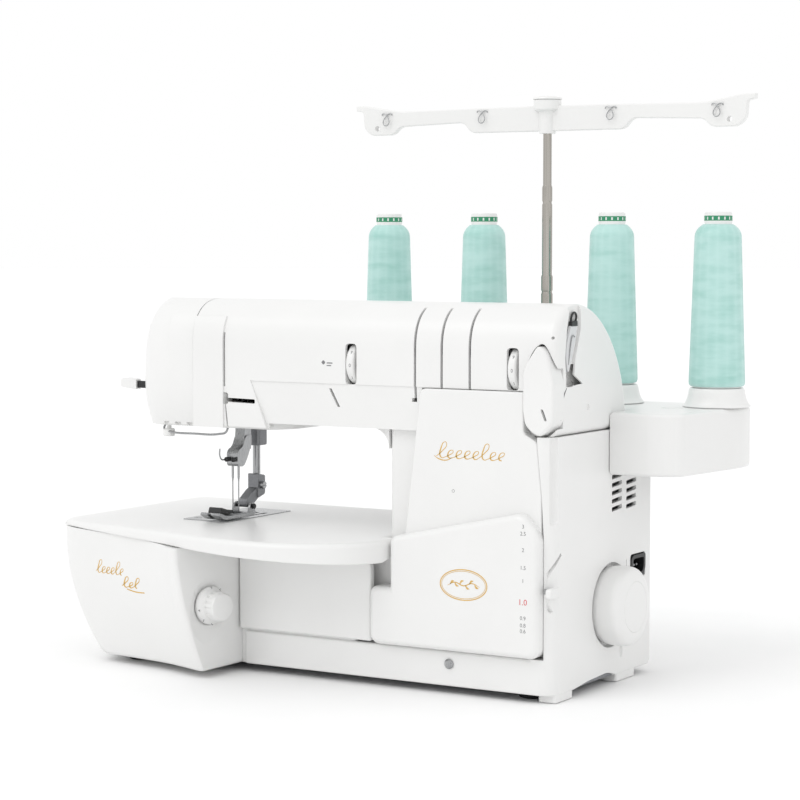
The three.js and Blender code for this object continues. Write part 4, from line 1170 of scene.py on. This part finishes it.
# ---- Presser foot lifter ---------------------------------------------------------------------------
# A black steel-cored lever that comes out through an upright slot in the face cover. A flat white
# ABS paddle is pushed on its end.
LIFTER_Y, LIFTER_Z = 40, 229
stub = block(
    "presser_lifter_bar", (ARM_LEFT - 12, LIFTER_Y - 1.6, LIFTER_Z - 3),
    (ARM_LEFT + 40, LIFTER_Y + 1.6, LIFTER_Z + 3), 0.8, (0.5, 0.5),
)
settle(stub, "presser_lifter", "black_plastic", black_plastic, "presser_lifter")
paddle = prism(
    "presser_lifter_paddle",
    [
        (ARM_LEFT - 27, LIFTER_Z - 2.4, 2), (ARM_LEFT - 10.4, LIFTER_Z - 4.4, 1.2),
        (ARM_LEFT - 10.4, LIFTER_Z + 4.4, 1.2), (ARM_LEFT - 22, LIFTER_Z + 5.6, 2),
        (ARM_LEFT - 27, LIFTER_Z + 4.2, 2),
    ],
    "y", LIFTER_Y - 3.4, LIFTER_Y + 3.4, (1.4, 1.4),
)
settle(paddle, "presser_lifter", "white_abs", white_abs)

# ---- Power inlet and base screw --------------------------------------------------------------------
# A black inlet socket with three plated pins and slanted corners, and a cross-head steel screw in the
# plinth's front.
inlet = prism(
    "power_inlet_body",
    [(135.8, 81, 4), (158, 81, 2), (162.2, 87, 2), (162.2, 99, 2), (138, 99, 4), (135.8, 96, 2)],
    "x", -24, 0.8, (0, 0.5),
)
mouth = prism(
    "mouth", [(139.4, 84, 3), (156, 84, 2), (159, 88, 2), (159, 96, 2), (139.4, 96, 3)], "x", -18, 3,
)
inlet = cut(inlet, mouth)
settle(inlet, "machine", "black_plastic", black_plastic, "power_inlet", edge=0.2)
pins = gather(
    "power_inlet_pins",
    *[
        lathe("pin", [(0, -20), (1.2, -20), (1.2, -3.6), (0.7, -3), (0, -3)], "x", (0, y, 90), 16)
        for y in (143.5, 149, 154.5)
    ],
)
settle(pins, "machine", "machined_steel", steel)
screw = lathe(
    "base_screw_head", [(0, -2.5), (2.6, -2.4), (4, -1.0), (4, -0.5), (0, -0.3)], "y", (-90, 0, 24), 32,
)
cross_slots = [
    block("cross", (-90 - w, -1, 24 - h), (-90 + w, 1, 24 + h)) for w, h in ((0.5, 2.4), (2.4, 0.5))
]
for tool in cross_slots:
    tool.data.transform(
        Matrix.Translation((-90, 0, 24)) @ Matrix.Rotation(0.5, 4, "Y") @ Matrix.Translation((90, 0, -24)),
    )
settle(cut(screw, *cross_slots), "machine", "machined_steel", steel, "base_screw")

# ---- Needle bar, clamp and needles -----------------------------------------------------------------
# A ground steel bar carries an offset steel clamp block that holds two chromed needles, each locked
# by a small black screw. A wire hook on the clamp guides the threads.
NEEDLE_X, NEEDLE_Y = -327, 50
settle(
    lathe(
        "needle_bar_rod", [(0, 176), (3.2, 176), (3.6, 176.8), (3.6, 281), (3, 282), (0, 282)], "z",
        (NEEDLE_X, 61, 0), 40,
    ),
    "needle_bar", "machined_steel", steel, "needle_bar",
)
clamp = join(
    prism(
        "needle_clamp_block", [(55, 176, 1), (66, 176, 1), (66, 196, 2), (57, 196, 2)], "x", NEEDLE_X - 4.8,
        NEEDLE_X + 4.8, (0.8, 0.8),
    ),
    prism(
        "clamp_neck",
        [
            (45, 162.8, 3), (54, 161.8, 3), (59, 168, 3), (65.6, 180, 2), (65.6, 188, 1), (57.4, 188, 3),
            (52.5, 178.4, 3), (45, 176, 4),
        ],
        "x", NEEDLE_X - 5.6, NEEDLE_X + 5.6, (1.2, 1.2),
    ),
)
clamp = cut(
    clamp, lathe("bar_bore", [(0, 150), (3.7, 150), (3.7, 230), (0, 230)], "z", (NEEDLE_X, 61, 0), 32),
)
settle(clamp, "needle_bar", "machined_steel", steel, "needle_clamp", edge=0.25)
clamp_screws = []
for x in (-3.4, 3.4):
    screw_head = lathe(
        "screw", [(0, 40.4), (1.5, 40.4), (2.0, 40.9), (2.0, 44), (1.4, 44.2), (1.4, 47), (0, 47)], "y",
        (NEEDLE_X + x, 0, 168.5), 24,
    )
    clamp_screws.append(
        cut(screw_head, block("slit", (NEEDLE_X + x - 0.3, 39, 160), (NEEDLE_X + x + 0.3, 41.2, 176))),
    )
settle(gather("needle_clamp_screws", *clamp_screws), "needle_bar", "machined_steel", black_plastic)
thread_hook = wire(
    "needle_clamp_hook",
    [
        (NEEDLE_X - 6.4, 46, 169), (NEEDLE_X - 7.4, 41, 168), (NEEDLE_X - 8, 38.5, 171),
        (NEEDLE_X - 8, 38.4, 177.5),
    ],
    0.6,
)
settle(thread_hook, "needle_bar", "machined_steel", steel)
for name, x in {"needle_left": -3, "needle_right": 3}.items():
    needle = lathe(
        name + "_shaft",
        [
            (0, 123), (0.28, 124.6), (0.5, 127.5), (0.5, 149), (0.62, 151), (1, 153), (1, 172.2),
            (0.8, 172.6), (0, 172.6),
        ],
        "z", (NEEDLE_X + x, NEEDLE_Y, 0), 24,
    )
    groove = block(
        "groove", (NEEDLE_X + x - 0.14, NEEDLE_Y - 0.6, 128), (NEEDLE_X + x + 0.14, NEEDLE_Y - 0.36, 150),
    )
    settle(cut(needle, groove), "needle_bar", "machined_steel", steel, name)

# ---- Presser bar, guide block and ankle ------------------------------------------------------------
# The steel presser bar slides in a sintered guide block under the head. An ankle of cast steel is
# clamped on its foot by a screw, and leans forward to the foot's pin.
PRESSER_Y = 81
settle(
    lathe(
        "presser_bar_rod", [(0, 148), (2.8, 148), (3.2, 148.6), (3.2, 275), (2.6, 276), (0, 276)], "z",
        (NEEDLE_X, PRESSER_Y, 0), 40,
    ),
    "presser_bar", "machined_steel", steel, "presser_bar",
)
sintered, tree, shader = new_finish("sintered_steel", Metallic=1.0)
place = add_node(tree, "ShaderNodeTexCoord").outputs["Object"]
grains = add_node(
    tree, "ShaderNodeTexNoise", {"Vector": place, "Scale": 1000 / 0.9, "Detail": 4},
).outputs[0]
grain_colour = add_node(
    tree, "ShaderNodeMix", {0: grains, 6: linear("#77787b"), 7: linear("#a2a3a6")}, data_type="RGBA",
)
tree.links.new(grain_colour.outputs[2], shader.inputs["Base Color"])
grain_roughness = add_node(tree, "ShaderNodeMapRange", {"Value": grains, "To Min": 0.42, "To Max": 0.6})
tree.links.new(grain_roughness.outputs[0], shader.inputs["Roughness"])
guide = prism(
    "presser_bar_guide_block",
    [
        (NEEDLE_X - 7, PRESSER_Y - 7, 2.5), (NEEDLE_X + 7, PRESSER_Y - 7, 2.5),
        (NEEDLE_X + 7, PRESSER_Y + 7, 2.5), (NEEDLE_X - 7, PRESSER_Y + 7, 2.5),
    ],
    "z", 178, 211, (1.2, 0.6), rim_steps=3,
)
guide = cut(
    guide, lathe("bore", [(0, 170), (3.4, 170), (3.4, 220), (0, 220)], "z", (NEEDLE_X, PRESSER_Y, 0), 32),
)
settle(guide, "machine", "machined_steel", sintered, "presser_bar_guide", edge=0.2)
ankle = join(
    prism(
        "presser_ankle_clamp",
        [
            (PRESSER_Y - 5.5, 133, 2), (PRESSER_Y + 5.2, 136, 2), (PRESSER_Y + 5.2, 152, 1.5),
            (PRESSER_Y - 5.5, 154, 1.5),
        ],
        "x", NEEDLE_X - 5.2, NEEDLE_X + 5.2, (1.2, 1.2),
    ),
    prism(
        "ankle_shin",
        [(60, 126.8, 2.5), (67, 126.8, 1), (84, 137, 2), (82, 144, 2), (72, 141, 3), (60, 133, 2)], "x",
        NEEDLE_X - 4.2, NEEDLE_X + 4.2, (1, 1),
    ),
)
ankle = cut(
    ankle, lathe("bore", [(0, 148), (3.3, 148), (3.3, 160), (0, 160)], "z", (NEEDLE_X, PRESSER_Y, 0), 32),
)
settle(ankle, "presser_bar", "machined_steel", sintered, "presser_ankle", edge=0.25)
ankle_screw = lathe(
    "ankle_screw", [(0, 4), (2.4, 4), (3.2, 4.8), (3.2, 8.4), (2.8, 8.8), (0, 8.8)], "x",
    (NEEDLE_X, PRESSER_Y - 0.5, 144), 28,
)
ankle_screw = cut(
    ankle_screw,
    block("slit", (NEEDLE_X + 8, PRESSER_Y - 4.5, 143.6), (NEEDLE_X + 10, PRESSER_Y + 4, 144.4)),
)
settle(ankle_screw, "presser_bar", "machined_steel", steel, edge=0.15)

# ---- Presser foot ----------------------------------------------------------------------------------
# A polished steel foot with a long turned-up toe, a slot round the needles, two upright cheeks and a
# black hinge screw. A dark finger stands at its front.
sole = prism(
    "presser_foot_sole",
    [
        (12, 124.6, 1), (20, 119.8, 3), (60, 119.8, 1), (66, 121.6, 1), (66, 123.4, 0.6), (30, 122.6, 4),
        (22, 123, 4), (14, 126.4, 0.8),
    ],
    "x", NEEDLE_X - 10, NEEDLE_X + 10, (0.8, 0.8), rim_steps=3,
)
needle_slot = block("needle_slot", (NEEDLE_X - 5, 42, 110), (NEEDLE_X + 5, 56, 130), 2)
toe_slot = block("toe_slot", (NEEDLE_X - 2.2, 5, 110), (NEEDLE_X + 1.2, 34, 130), 1)
sole = cut(sole, needle_slot, toe_slot)
settle(sole, "presser_foot", "machined_steel", steel, "presser_foot", edge=0.25)
cheeks = gather(
    "presser_foot_cheeks",
    *[
        prism(
            "cheek",
            [(56.5, 122.4, 0.5), (65.5, 122.4, 0.5), (66, 130.5, 2.5), (61, 131.5, 2.5), (57.5, 128, 2)],
            "x", x0, x0 + 1.8, (0.3, 0.3), rim_steps=2,
        )
        for x0 in (NEEDLE_X - 9, NEEDLE_X + 7.2)
    ],
)
settle(cheeks, "presser_foot", "machined_steel", steel)
hinge_pin = lathe(
    "presser_foot_pin", [(0, -9.6), (1.2, -9.6), (1.2, 9.2), (2.2, 9.4), (2.2, 10.6), (1.8, 11), (0, 11)],
    "x", (NEEDLE_X, 62.5, 127.6), 24,
)
settle(hinge_pin, "presser_foot", "machined_steel", black_plastic)
finger = prism(
    "presser_foot_finger",
    [(22, 125, 1), (33, 123.2, 0.5), (41, 123.2, 0.5), (41, 126.2, 1), (33, 127.2, 1), (24, 129.8, 1)],
    "x", NEEDLE_X - 8.6, NEEDLE_X + 4, (0.5, 0.5), rim_steps=2,
)
settle(finger, "presser_foot", "machined_steel", black_plastic)

# ---- Needle plate and feed dog ---------------------------------------------------------------------
# A satin steel plate let into the bed, slotted for the needles and the feed rails, and held by two
# screws. The feed dog's toothed rails show through it.
plate = block("needle_plate_blank", (-362, 22, 116.3), (-316, 118, 118.6), 2, (0, 0.5))
plate_cuts = [
    block("slot", (NEEDLE_X - 5, NEEDLE_Y - 2, 110), (NEEDLE_X + 5, NEEDLE_Y + 2, 125), 1),
    block("slot", (NEEDLE_X - 8, 60, 110), (NEEDLE_X - 4, 92, 125), 1),
    block("slot", (NEEDLE_X + 0.5, 60, 110), (NEEDLE_X + 4.5, 92, 125), 1),
    lathe("screw_seat", [(0, 117), (2.6, 117), (3.4, 118), (3.4, 120), (0, 120)], "z", (-353, 108, 0), 24),
    lathe("screw_seat", [(0, 117), (2.6, 117), (3.4, 118), (3.4, 120), (0, 120)], "z", (-353, 32, 0), 24),
]
settle(cut(plate, *plate_cuts), "machine", "machined_steel", steel, "needle_plate", edge=0.15)
plate_screws = []
for y in (32, 108):
    head = lathe(
        "plate_screw", [(0, 117.2), (2.8, 117.2), (3.0, 118), (2.6, 118.5), (0, 118.7)], "z", (-353, y, 0),
        24,
    )
    plate_screws.append(cut(head, block("slit", (-356, y - 0.35, 118), (-350, y + 0.35, 120))))
settle(gather("needle_plate_screws", *plate_screws), "machine", "machined_steel", steel)
dog = block("feed_dog_base", (NEEDLE_X - 7.5, 60, 106), (NEEDLE_X + 4, 94, 111), 0.8)
rails = [block("rail", (NEEDLE_X + x - 1.4, 66, 110), (NEEDLE_X + x + 1.4, 86, 118.2)) for x in (-6, 2.5)]
teeth = [
    prism(
        "tooth_gap", [(66.4 + 1.25 * i, 117.2), (67.2 + 1.25 * i, 119), (65.9 + 1.25 * i, 119)], "x",
        NEEDLE_X - 9, NEEDLE_X + 6,
    )
    for i in range(16)
]
dog = cut(join(dog, *rails), *teeth)
settle(dog, "feed_dog", "machined_steel", steel, "feed_dog")

# ---- Wire thread guide under the head ----------------------------------------------------------------
# A bent steel wire along the head's underside, held by its two upturned ends. A small white ABS stud
# stands at its left.
head_wire = wire(
    "head_wire_guide",
    [
        (-378, 20, 197.6), (-377.6, 18, 194.2), (-372, 16.5, 192.4), (-345, 16, 191.4), (-318, 16, 192.4),
        (-313, 16.5, 194), (-312, 18, 197.6),
    ],
    0.9,
)
settle(head_wire, "machine", "machined_steel", steel, "head_thread_guide")
stud = lathe(
    "head_stud",
    [(0, 188), (4.4, 188), (5, 189), (5, 193.4), (4, 194.4), (2, 194.6), (2, 198.4), (0, 198.4)], "z",
    (-374, 20, 0), 32,
)
settle(stud, "machine", "white_abs", white_abs, edge=0.3)

# ---- Spool tray and cone holders ---------------------------------------------------------------------
# The tray is a deep ABS moulding that wraps the back of the arm and stands past the machine's right
# side. Four soft conical holders sit on it, each with a spindle for its cone.
TRAY_TOP = 217.5
TRAY_BOTTOM = 168
ROD_X, ROD_Y = -108, 195
TRAY_LEFT, TRAY_RIGHT = -285, 69
tray = prism(
    "spool_tray_moulding",
    [
        (TRAY_LEFT + 10, 131), (0.6, 131), (0.6, 95), (40, 95, 8), (58, 104, 6), (TRAY_RIGHT + 0.4, 200, 6),
        (TRAY_RIGHT - 2, 228, 14), (TRAY_LEFT + 3, 228, 12), (TRAY_LEFT, 206, 6),
    ],
    "z", TRAY_BOTTOM, TRAY_TOP, (3, 3.5), rim_steps=6, corner_steps=8,
)
under_shelf = block("under_shelf", (TRAY_LEFT - 15, 100, 150), (PILLAR_LEFT, 260, 202))
pillar_room = block("pillar_room", (PILLAR_LEFT - 1, 100, 150), (0.3, 177.3, ARM_BOTTOM + 0.3))
tray = cut(tray, under_shelf)
tray = cut(tray, pillar_room)
tray = cut(tray, block("tray_hollow", (3.5, 106, 150), (46, 222, TRAY_TOP - 4), 4))
tray = cut(tray, block("tray_hollow_left", (PILLAR_LEFT + 4, 181, 150), (-3, 223, 200), 4))
rod_socket = lathe(
    "rod_socket", [(0, 204), (5.3, 204), (5.3, 216), (5.8, 220), (0, 220)], "z", (ROD_X, ROD_Y, 0), 32,
)
tray = cut(tray, rod_socket)
settle(tray, "machine", "white_abs", white_abs, "spool_tray", edge=0.5)
ring_mark = wire(
    "tray_ring_mark",
    [(23 + 9 * cos(a), 163 + 6.5 * sin(a), TRAY_TOP + 0.02) for a in [2 * pi * i / 28 for i in range(29)]],
    0.3,
)
settle(ring_mark, "machine", "white_abs", white_abs)
rod_collar = lathe(
    "rod_collar", [(5.1, 217.6), (9, 217.6), (8.6, 220.4), (6.8, 221.6), (5.1, 221.6), (5.1, 217.6)], "z",
    (ROD_X, ROD_Y, 0), 40,
)
settle(rod_collar, "machine", "white_abs", white_abs)
CONE_X = [ROD_X + offset for offset in (-155.7, -60.6, 60.6, 155.7)]
HOLDER_TOP = 233
for number, x in enumerate(CONE_X, 1):
    flare = interpolate_bezier(
        Vector((27.6, 218.4, 0)), Vector((24.6, 221, 0)), Vector((23.4, 226, 0)), Vector((22.6, 231.4, 0)),
        8,
    )
    holder = lathe(
        "cone_holder_%d_seat" % number,
        [(0, 217.8), (27, 217.8)] + [(p.x, p.y) for p in flare] + [
            (21.6, 233), (6, 233), (5.2, 236), (4.6, 272), (3.4, 275), (0, 275.6),
        ],
        "z", (x, ROD_Y, 0), 64,
    )
    settle(holder, "machine", "white_abs", white_abs, "cone_holder_%d" % number)

# ---- Telescopic rod --------------------------------------------------------------------------------
# Three chromed steel tubes, one inside the other. Each joint is a short swaged sleeve, crimped so
# that the thinner tube locks when it is drawn out.
chrome, tree, shader = new_finish("chromed_steel", Metallic=1.0)
place = add_node(tree, "ShaderNodeTexCoord").outputs["Object"]
# The chrome's colour runs in broad dark and light streaks along the tubes: partly faint drawing lines, partly
# painted reflections standing for the dark and bright bands a polished tube mirrors.
streak_place = add_node(tree, "ShaderNodeMapping", {"Vector": place, "Scale": (1.0, 1.0, 0.02)}).outputs[0]
drawn_lines_and_painted_reflections = add_node(
    tree, "ShaderNodeTexNoise", {"Vector": streak_place, "Scale": 1000 / 3.2, "Detail": 2},
).outputs[0]
chrome_colour = add_node(
    tree, "ShaderNodeMix", {0: drawn_lines_and_painted_reflections, 6: linear("#77736d"), 7: linear("#cbc7c0")}, data_type="RGBA",
)
tree.links.new(chrome_colour.outputs[2], shader.inputs["Base Color"])
chrome_roughness = add_node(tree, "ShaderNodeMapRange", {"Value": drawn_lines_and_painted_reflections, "To Min": 0.1, "To Max": 0.22})
tree.links.new(chrome_roughness.outputs[0], shader.inputs["Roughness"])


def rod_tube(name, node, body, outer, inner, low, high, crimp):
    """A tube section that narrows at its top and has a crimped groove below it."""
    profile = [
        (inner, low), (outer, low), (outer, high - crimp - 4), (outer - 0.5, high - crimp - 3),
        (outer - 0.5, high - crimp - 1.6), (outer, high - crimp - 0.6), (outer, high - 1.6),
        (outer - 0.5, high), (inner, high), (inner, low),
    ]
    settle(lathe(name, profile, "z", (ROD_X, ROD_Y, 0), 40), body, "chrome_tube", chrome, node, crease=40)


rod_tube("rod_lower_section", "rod_lower_tube", "machine", 5.0, 4.4, 205.3, 323, 12)
rod_tube("rod_middle_section", "rod_middle_tube", "rod_middle", 4.3, 3.7, 293, 398, 12)
settle(
    lathe(
        "rod_top_section", [(0, 368), (3.6, 368), (3.6, 466), (3.3, 466.6), (0, 466.6)], "z",
        (ROD_X, ROD_Y, 0), 40,
    ),
    "rod_top", "chrome_tube", chrome, "rod_top",
)

# ---- Guide bar and its wire guides -------------------------------------------------------------------
# One long ABS moulding on top of the rod: a thin wing with deeper pads over the outer cones and a
# tongue at each tip. Each of its four guides is a bent steel wire that hangs on the bar's front.
BAR_BOTTOM, BAR_TOP = 443.5, 469.5
UNDERSIDE = [
    (188, 465.2, 0), (181, 464, 2), (180, 450, 3.5), (173, BAR_BOTTOM, 3.5), (150, BAR_BOTTOM, 3.5),
    (143, 450.5, 3.5), (80, 452.5, 3.5), (72, BAR_BOTTOM, 4), (13, BAR_BOTTOM, 2),
]
TOPSIDE = [
    (8, 464.8, 0), (73, 464.4, 4), (142, 463.6, 4), (152, 465, 4), (178, BAR_TOP, 3), (188, BAR_TOP, 0),
]
bar_outline = [(ROD_X - a, z, c) for a, z, c in UNDERSIDE] + [
    (ROD_X + a, z, c) for a, z, c in reversed(UNDERSIDE)
]
bar_outline += [(ROD_X + a, z, c) for a, z, c in reversed(TOPSIDE)] + [
    (ROD_X - a, z, c) for a, z, c in TOPSIDE
]
bar = prism(
    "guide_bar_wing", bar_outline, "y", ROD_Y - 3, ROD_Y + 3, (1.2, 1.2), rim_steps=4, corner_steps=6,
)
hub = lathe(
    "bar_hub",
    [
        (0, 441.5), (6.6, 441.5), (7, 442.4), (7.2, 457), (8, 459.6), (11, 461.2), (11.6, 462.4),
        (11.6, BAR_TOP), (0, BAR_TOP),
    ],
    "z", (ROD_X, ROD_Y, 0), 48,
)
eyes = [
    lathe("tip_hole", [(0, 180), (2.4, 180), (2.4, 210), (0, 210)], "y", (ROD_X + side * 166, 0, 449.5), 24)
    for side in (-1, 1)
]
bar = join(bar, hub)
bar = cut(
    bar, *eyes, lathe("rod_bore", [(0, 430), (3.7, 430), (3.7, 467), (0, 467)], "z", (ROD_X, ROD_Y, 0), 32),
)
settle(bar, "guide_bar", "white_abs", white_abs, "guide_bar", edge=0.25)
cap = lathe(
    "guide_bar_cap_disc", [(0, 469.8), (12, 469.8), (12.4, 470.4), (11.8, 471.6), (9, 472.3), (0, 472.5)],
    "z", (ROD_X, ROD_Y, 0), 48,
)
settle(cap, "guide_bar", "white_abs", white_abs, "guide_bar_cap")
for number, x in enumerate(CONE_X, 1):
    front = ROD_Y - 3.9
    half = [
        (4.9, 0.4, 460.6), (4.2, 0.5, 461.9), (1.0, 0.6, 461.5), (-0.9, 1.0, 459.4), (-2.9, 1.6, 456.0),
        (-2.6, 2.0, 453.0),
    ]
    loop = wire(
        "wire_guide_%d_loop" % number,
        [(x - a, front - b, z) for a, b, z in half] + [(x, front - 2.1, 451.6)] + [
            (x + a, front - b + 0.5, z) for a, b, z in reversed(half)
        ],
        0.42,
    )
    settle(loop, "guide_bar", "machined_steel", steel, "wire_guide_%d" % number)

# ---- Thread cones ----------------------------------------------------------------------------------
# Polyester thread cross-wound on white plastic tubes with a printed green band near the top. The
# winding shows as fine crossing lines. Real thread is 0.25 mm; it is drawn coarser so that it shows.
THREAD_STEP = 1.7
CROSSINGS = 4.0
BAND_GAPS = 7


def wound_thread(name, x):
    """Thread whose two crossing windings climb round the cone at x."""
    material, tree, shader = new_finish(name, IOR=1.5)
    shader.inputs["Sheen Weight"].default_value = 0.35
    shader.inputs["Sheen Roughness"].default_value = 0.4
    place = add_node(tree, "ShaderNodeTexCoord").outputs["Object"]
    axis_place = TO_ROW @ Vector((x, ROD_Y, 0))
    centred = add_node(
        tree, "ShaderNodeMapping", {"Vector": place, "Location": (-axis_place.x, -axis_place.y, 0)},
    ).outputs[0]
    parts = add_node(tree, "ShaderNodeSeparateXYZ", {"Vector": centred})
    around = add_node(
        tree, "ShaderNodeMath", {0: parts.outputs["Y"], 1: parts.outputs["X"]}, operation="ARCTAN2",
    )
    climb = add_node(
        tree, "ShaderNodeMath", {0: parts.outputs["Z"], 1: 2 * pi / (THREAD_STEP * MM)},
        operation="MULTIPLY",
    )
    windings = []
    for side in (1, -1):
        lean = add_node(
            tree, "ShaderNodeMath", {0: around.outputs[0], 1: side * CROSSINGS}, operation="MULTIPLY",
        )
        phase = add_node(tree, "ShaderNodeMath", {0: climb.outputs[0], 1: lean.outputs[0]}, operation="ADD")
        wave = add_node(tree, "ShaderNodeMath", {0: phase.outputs[0]}, operation="SINE")
        windings.append(add_node(tree, "ShaderNodeMath", {0: wave.outputs[0]}, operation="ABSOLUTE"))
    crossed = add_node(
        tree, "ShaderNodeMath", {0: windings[0].outputs[0], 1: windings[1].outputs[0]}, operation="MINIMUM",
    )
    bands = add_node(tree, "ShaderNodeMapping", {"Vector": place, "Scale": (0.25, 0.25, 1.0)}).outputs[0]
    layers = add_node(
        tree, "ShaderNodeTexNoise", {"Vector": bands, "Scale": 1000 / 7, "Detail": 5},
    ).outputs[0]
    mix = add_node(
        tree, "ShaderNodeMath", {0: crossed.outputs[0], 1: layers, 2: layers}, operation="MULTIPLY_ADD",
    )
    shade = add_node(
        tree, "ShaderNodeMapRange", {"Value": mix.outputs[0], "From Min": 0.25, "From Max": 0.95},
    ).outputs[0]
    colour = add_node(
        tree, "ShaderNodeMix", {0: shade, 6: linear("#9bcdc4"), 7: linear("#c0e3de")}, data_type="RGBA",
    )
    tree.links.new(colour.outputs[2], shader.inputs["Base Color"])
    rough = add_node(
        tree, "ShaderNodeMapRange", {"Value": crossed.outputs[0], "To Min": 0.75, "To Max": 0.6},
    )
    tree.links.new(rough.outputs[0], shader.inputs["Roughness"])
    bump = add_node(
        tree, "ShaderNodeBump", {"Height": crossed.outputs[0], "Strength": 0.35, "Distance": 0.0003},
    )
    tree.links.new(bump.outputs[0], shader.inputs["Normal"])
    return material


green_ink = ink("green_pad_print", "#2f8a63")
CONE_BASE = HOLDER_TOP + 0.3
CONE_TOP = CONE_BASE + 142
CONE_BASE_RADIUS = [21.8, 21.8, 22, 22.8]
for number, (x, base) in enumerate(zip(CONE_X, CONE_BASE_RADIUS), 1):
    body = "thread_cone_%d" % number
    shoulder = interpolate_bezier(
        Vector((base * 0.83, CONE_TOP - 20, 0)), Vector((base * 0.82, CONE_TOP - 15.5, 0)),
        Vector((base * 0.7, CONE_TOP - 12.4, 0)), Vector((12, CONE_TOP - 10, 0)), 10,
    )
    wound = lathe(
        body + "_winding",
        [
            (8.5, CONE_BASE + 1.2), (base - 1.4, CONE_BASE + 1.2), (base - 0.4, CONE_BASE + 2.2),
            (base, CONE_BASE + 4.2), (base - 0.1, CONE_BASE + 8),
        ] + [(p.x, p.y) for p in shoulder] + [(8.5, CONE_TOP - 10), (8.5, CONE_BASE + 1.2)],
        "z", (x, ROD_Y, 0), 72,
    )
    settle(wound, body, "mint_thread", wound_thread("polyester_thread_%d" % number, x), body)
    tube = lathe(
        body + "_tube",
        [
            (7.4, CONE_BASE), (base - 3, CONE_BASE), (base - 3, CONE_BASE + 1.1), (9.5, CONE_BASE + 1.1),
            (10.9, CONE_TOP - 9.9), (11.3, CONE_TOP - 8), (11.1, CONE_TOP - 1.4), (10.4, CONE_TOP - 0.2),
            (9.4, CONE_TOP), (8.8, CONE_TOP - 0.8), (8.6, CONE_TOP - 6), (7.2, CONE_BASE + 60),
            (7.4, CONE_BASE),
        ],
        "z", (x, ROD_Y, 0), 64,
    )
    settle(tube, body, "white_abs", white_abs, crease=40)
    green_band = lathe(
        body + "_band",
        [
            (11.2, CONE_TOP - 7.2), (11.36, CONE_TOP - 7.2), (11.34, CONE_TOP - 3.2),
            (11.2, CONE_TOP - 3.2), (11.2, CONE_TOP - 7.2),
        ],
        "z", (x, ROD_Y, 0), 64,
    )
    windows = [
        block("gap", (-0.7, -14, CONE_TOP - 6.4), (0.7, 14, CONE_TOP - 4.0), 0) for _ in range(BAND_GAPS)
    ]
    for i, gap in enumerate(windows):
        gap.data.transform(Matrix.Translation((x, ROD_Y, 0)) @ Matrix.Rotation(pi * i / BAND_GAPS, 4, "Z"))
    settle(cut(green_band, *windows), body, "mint_thread", green_ink)
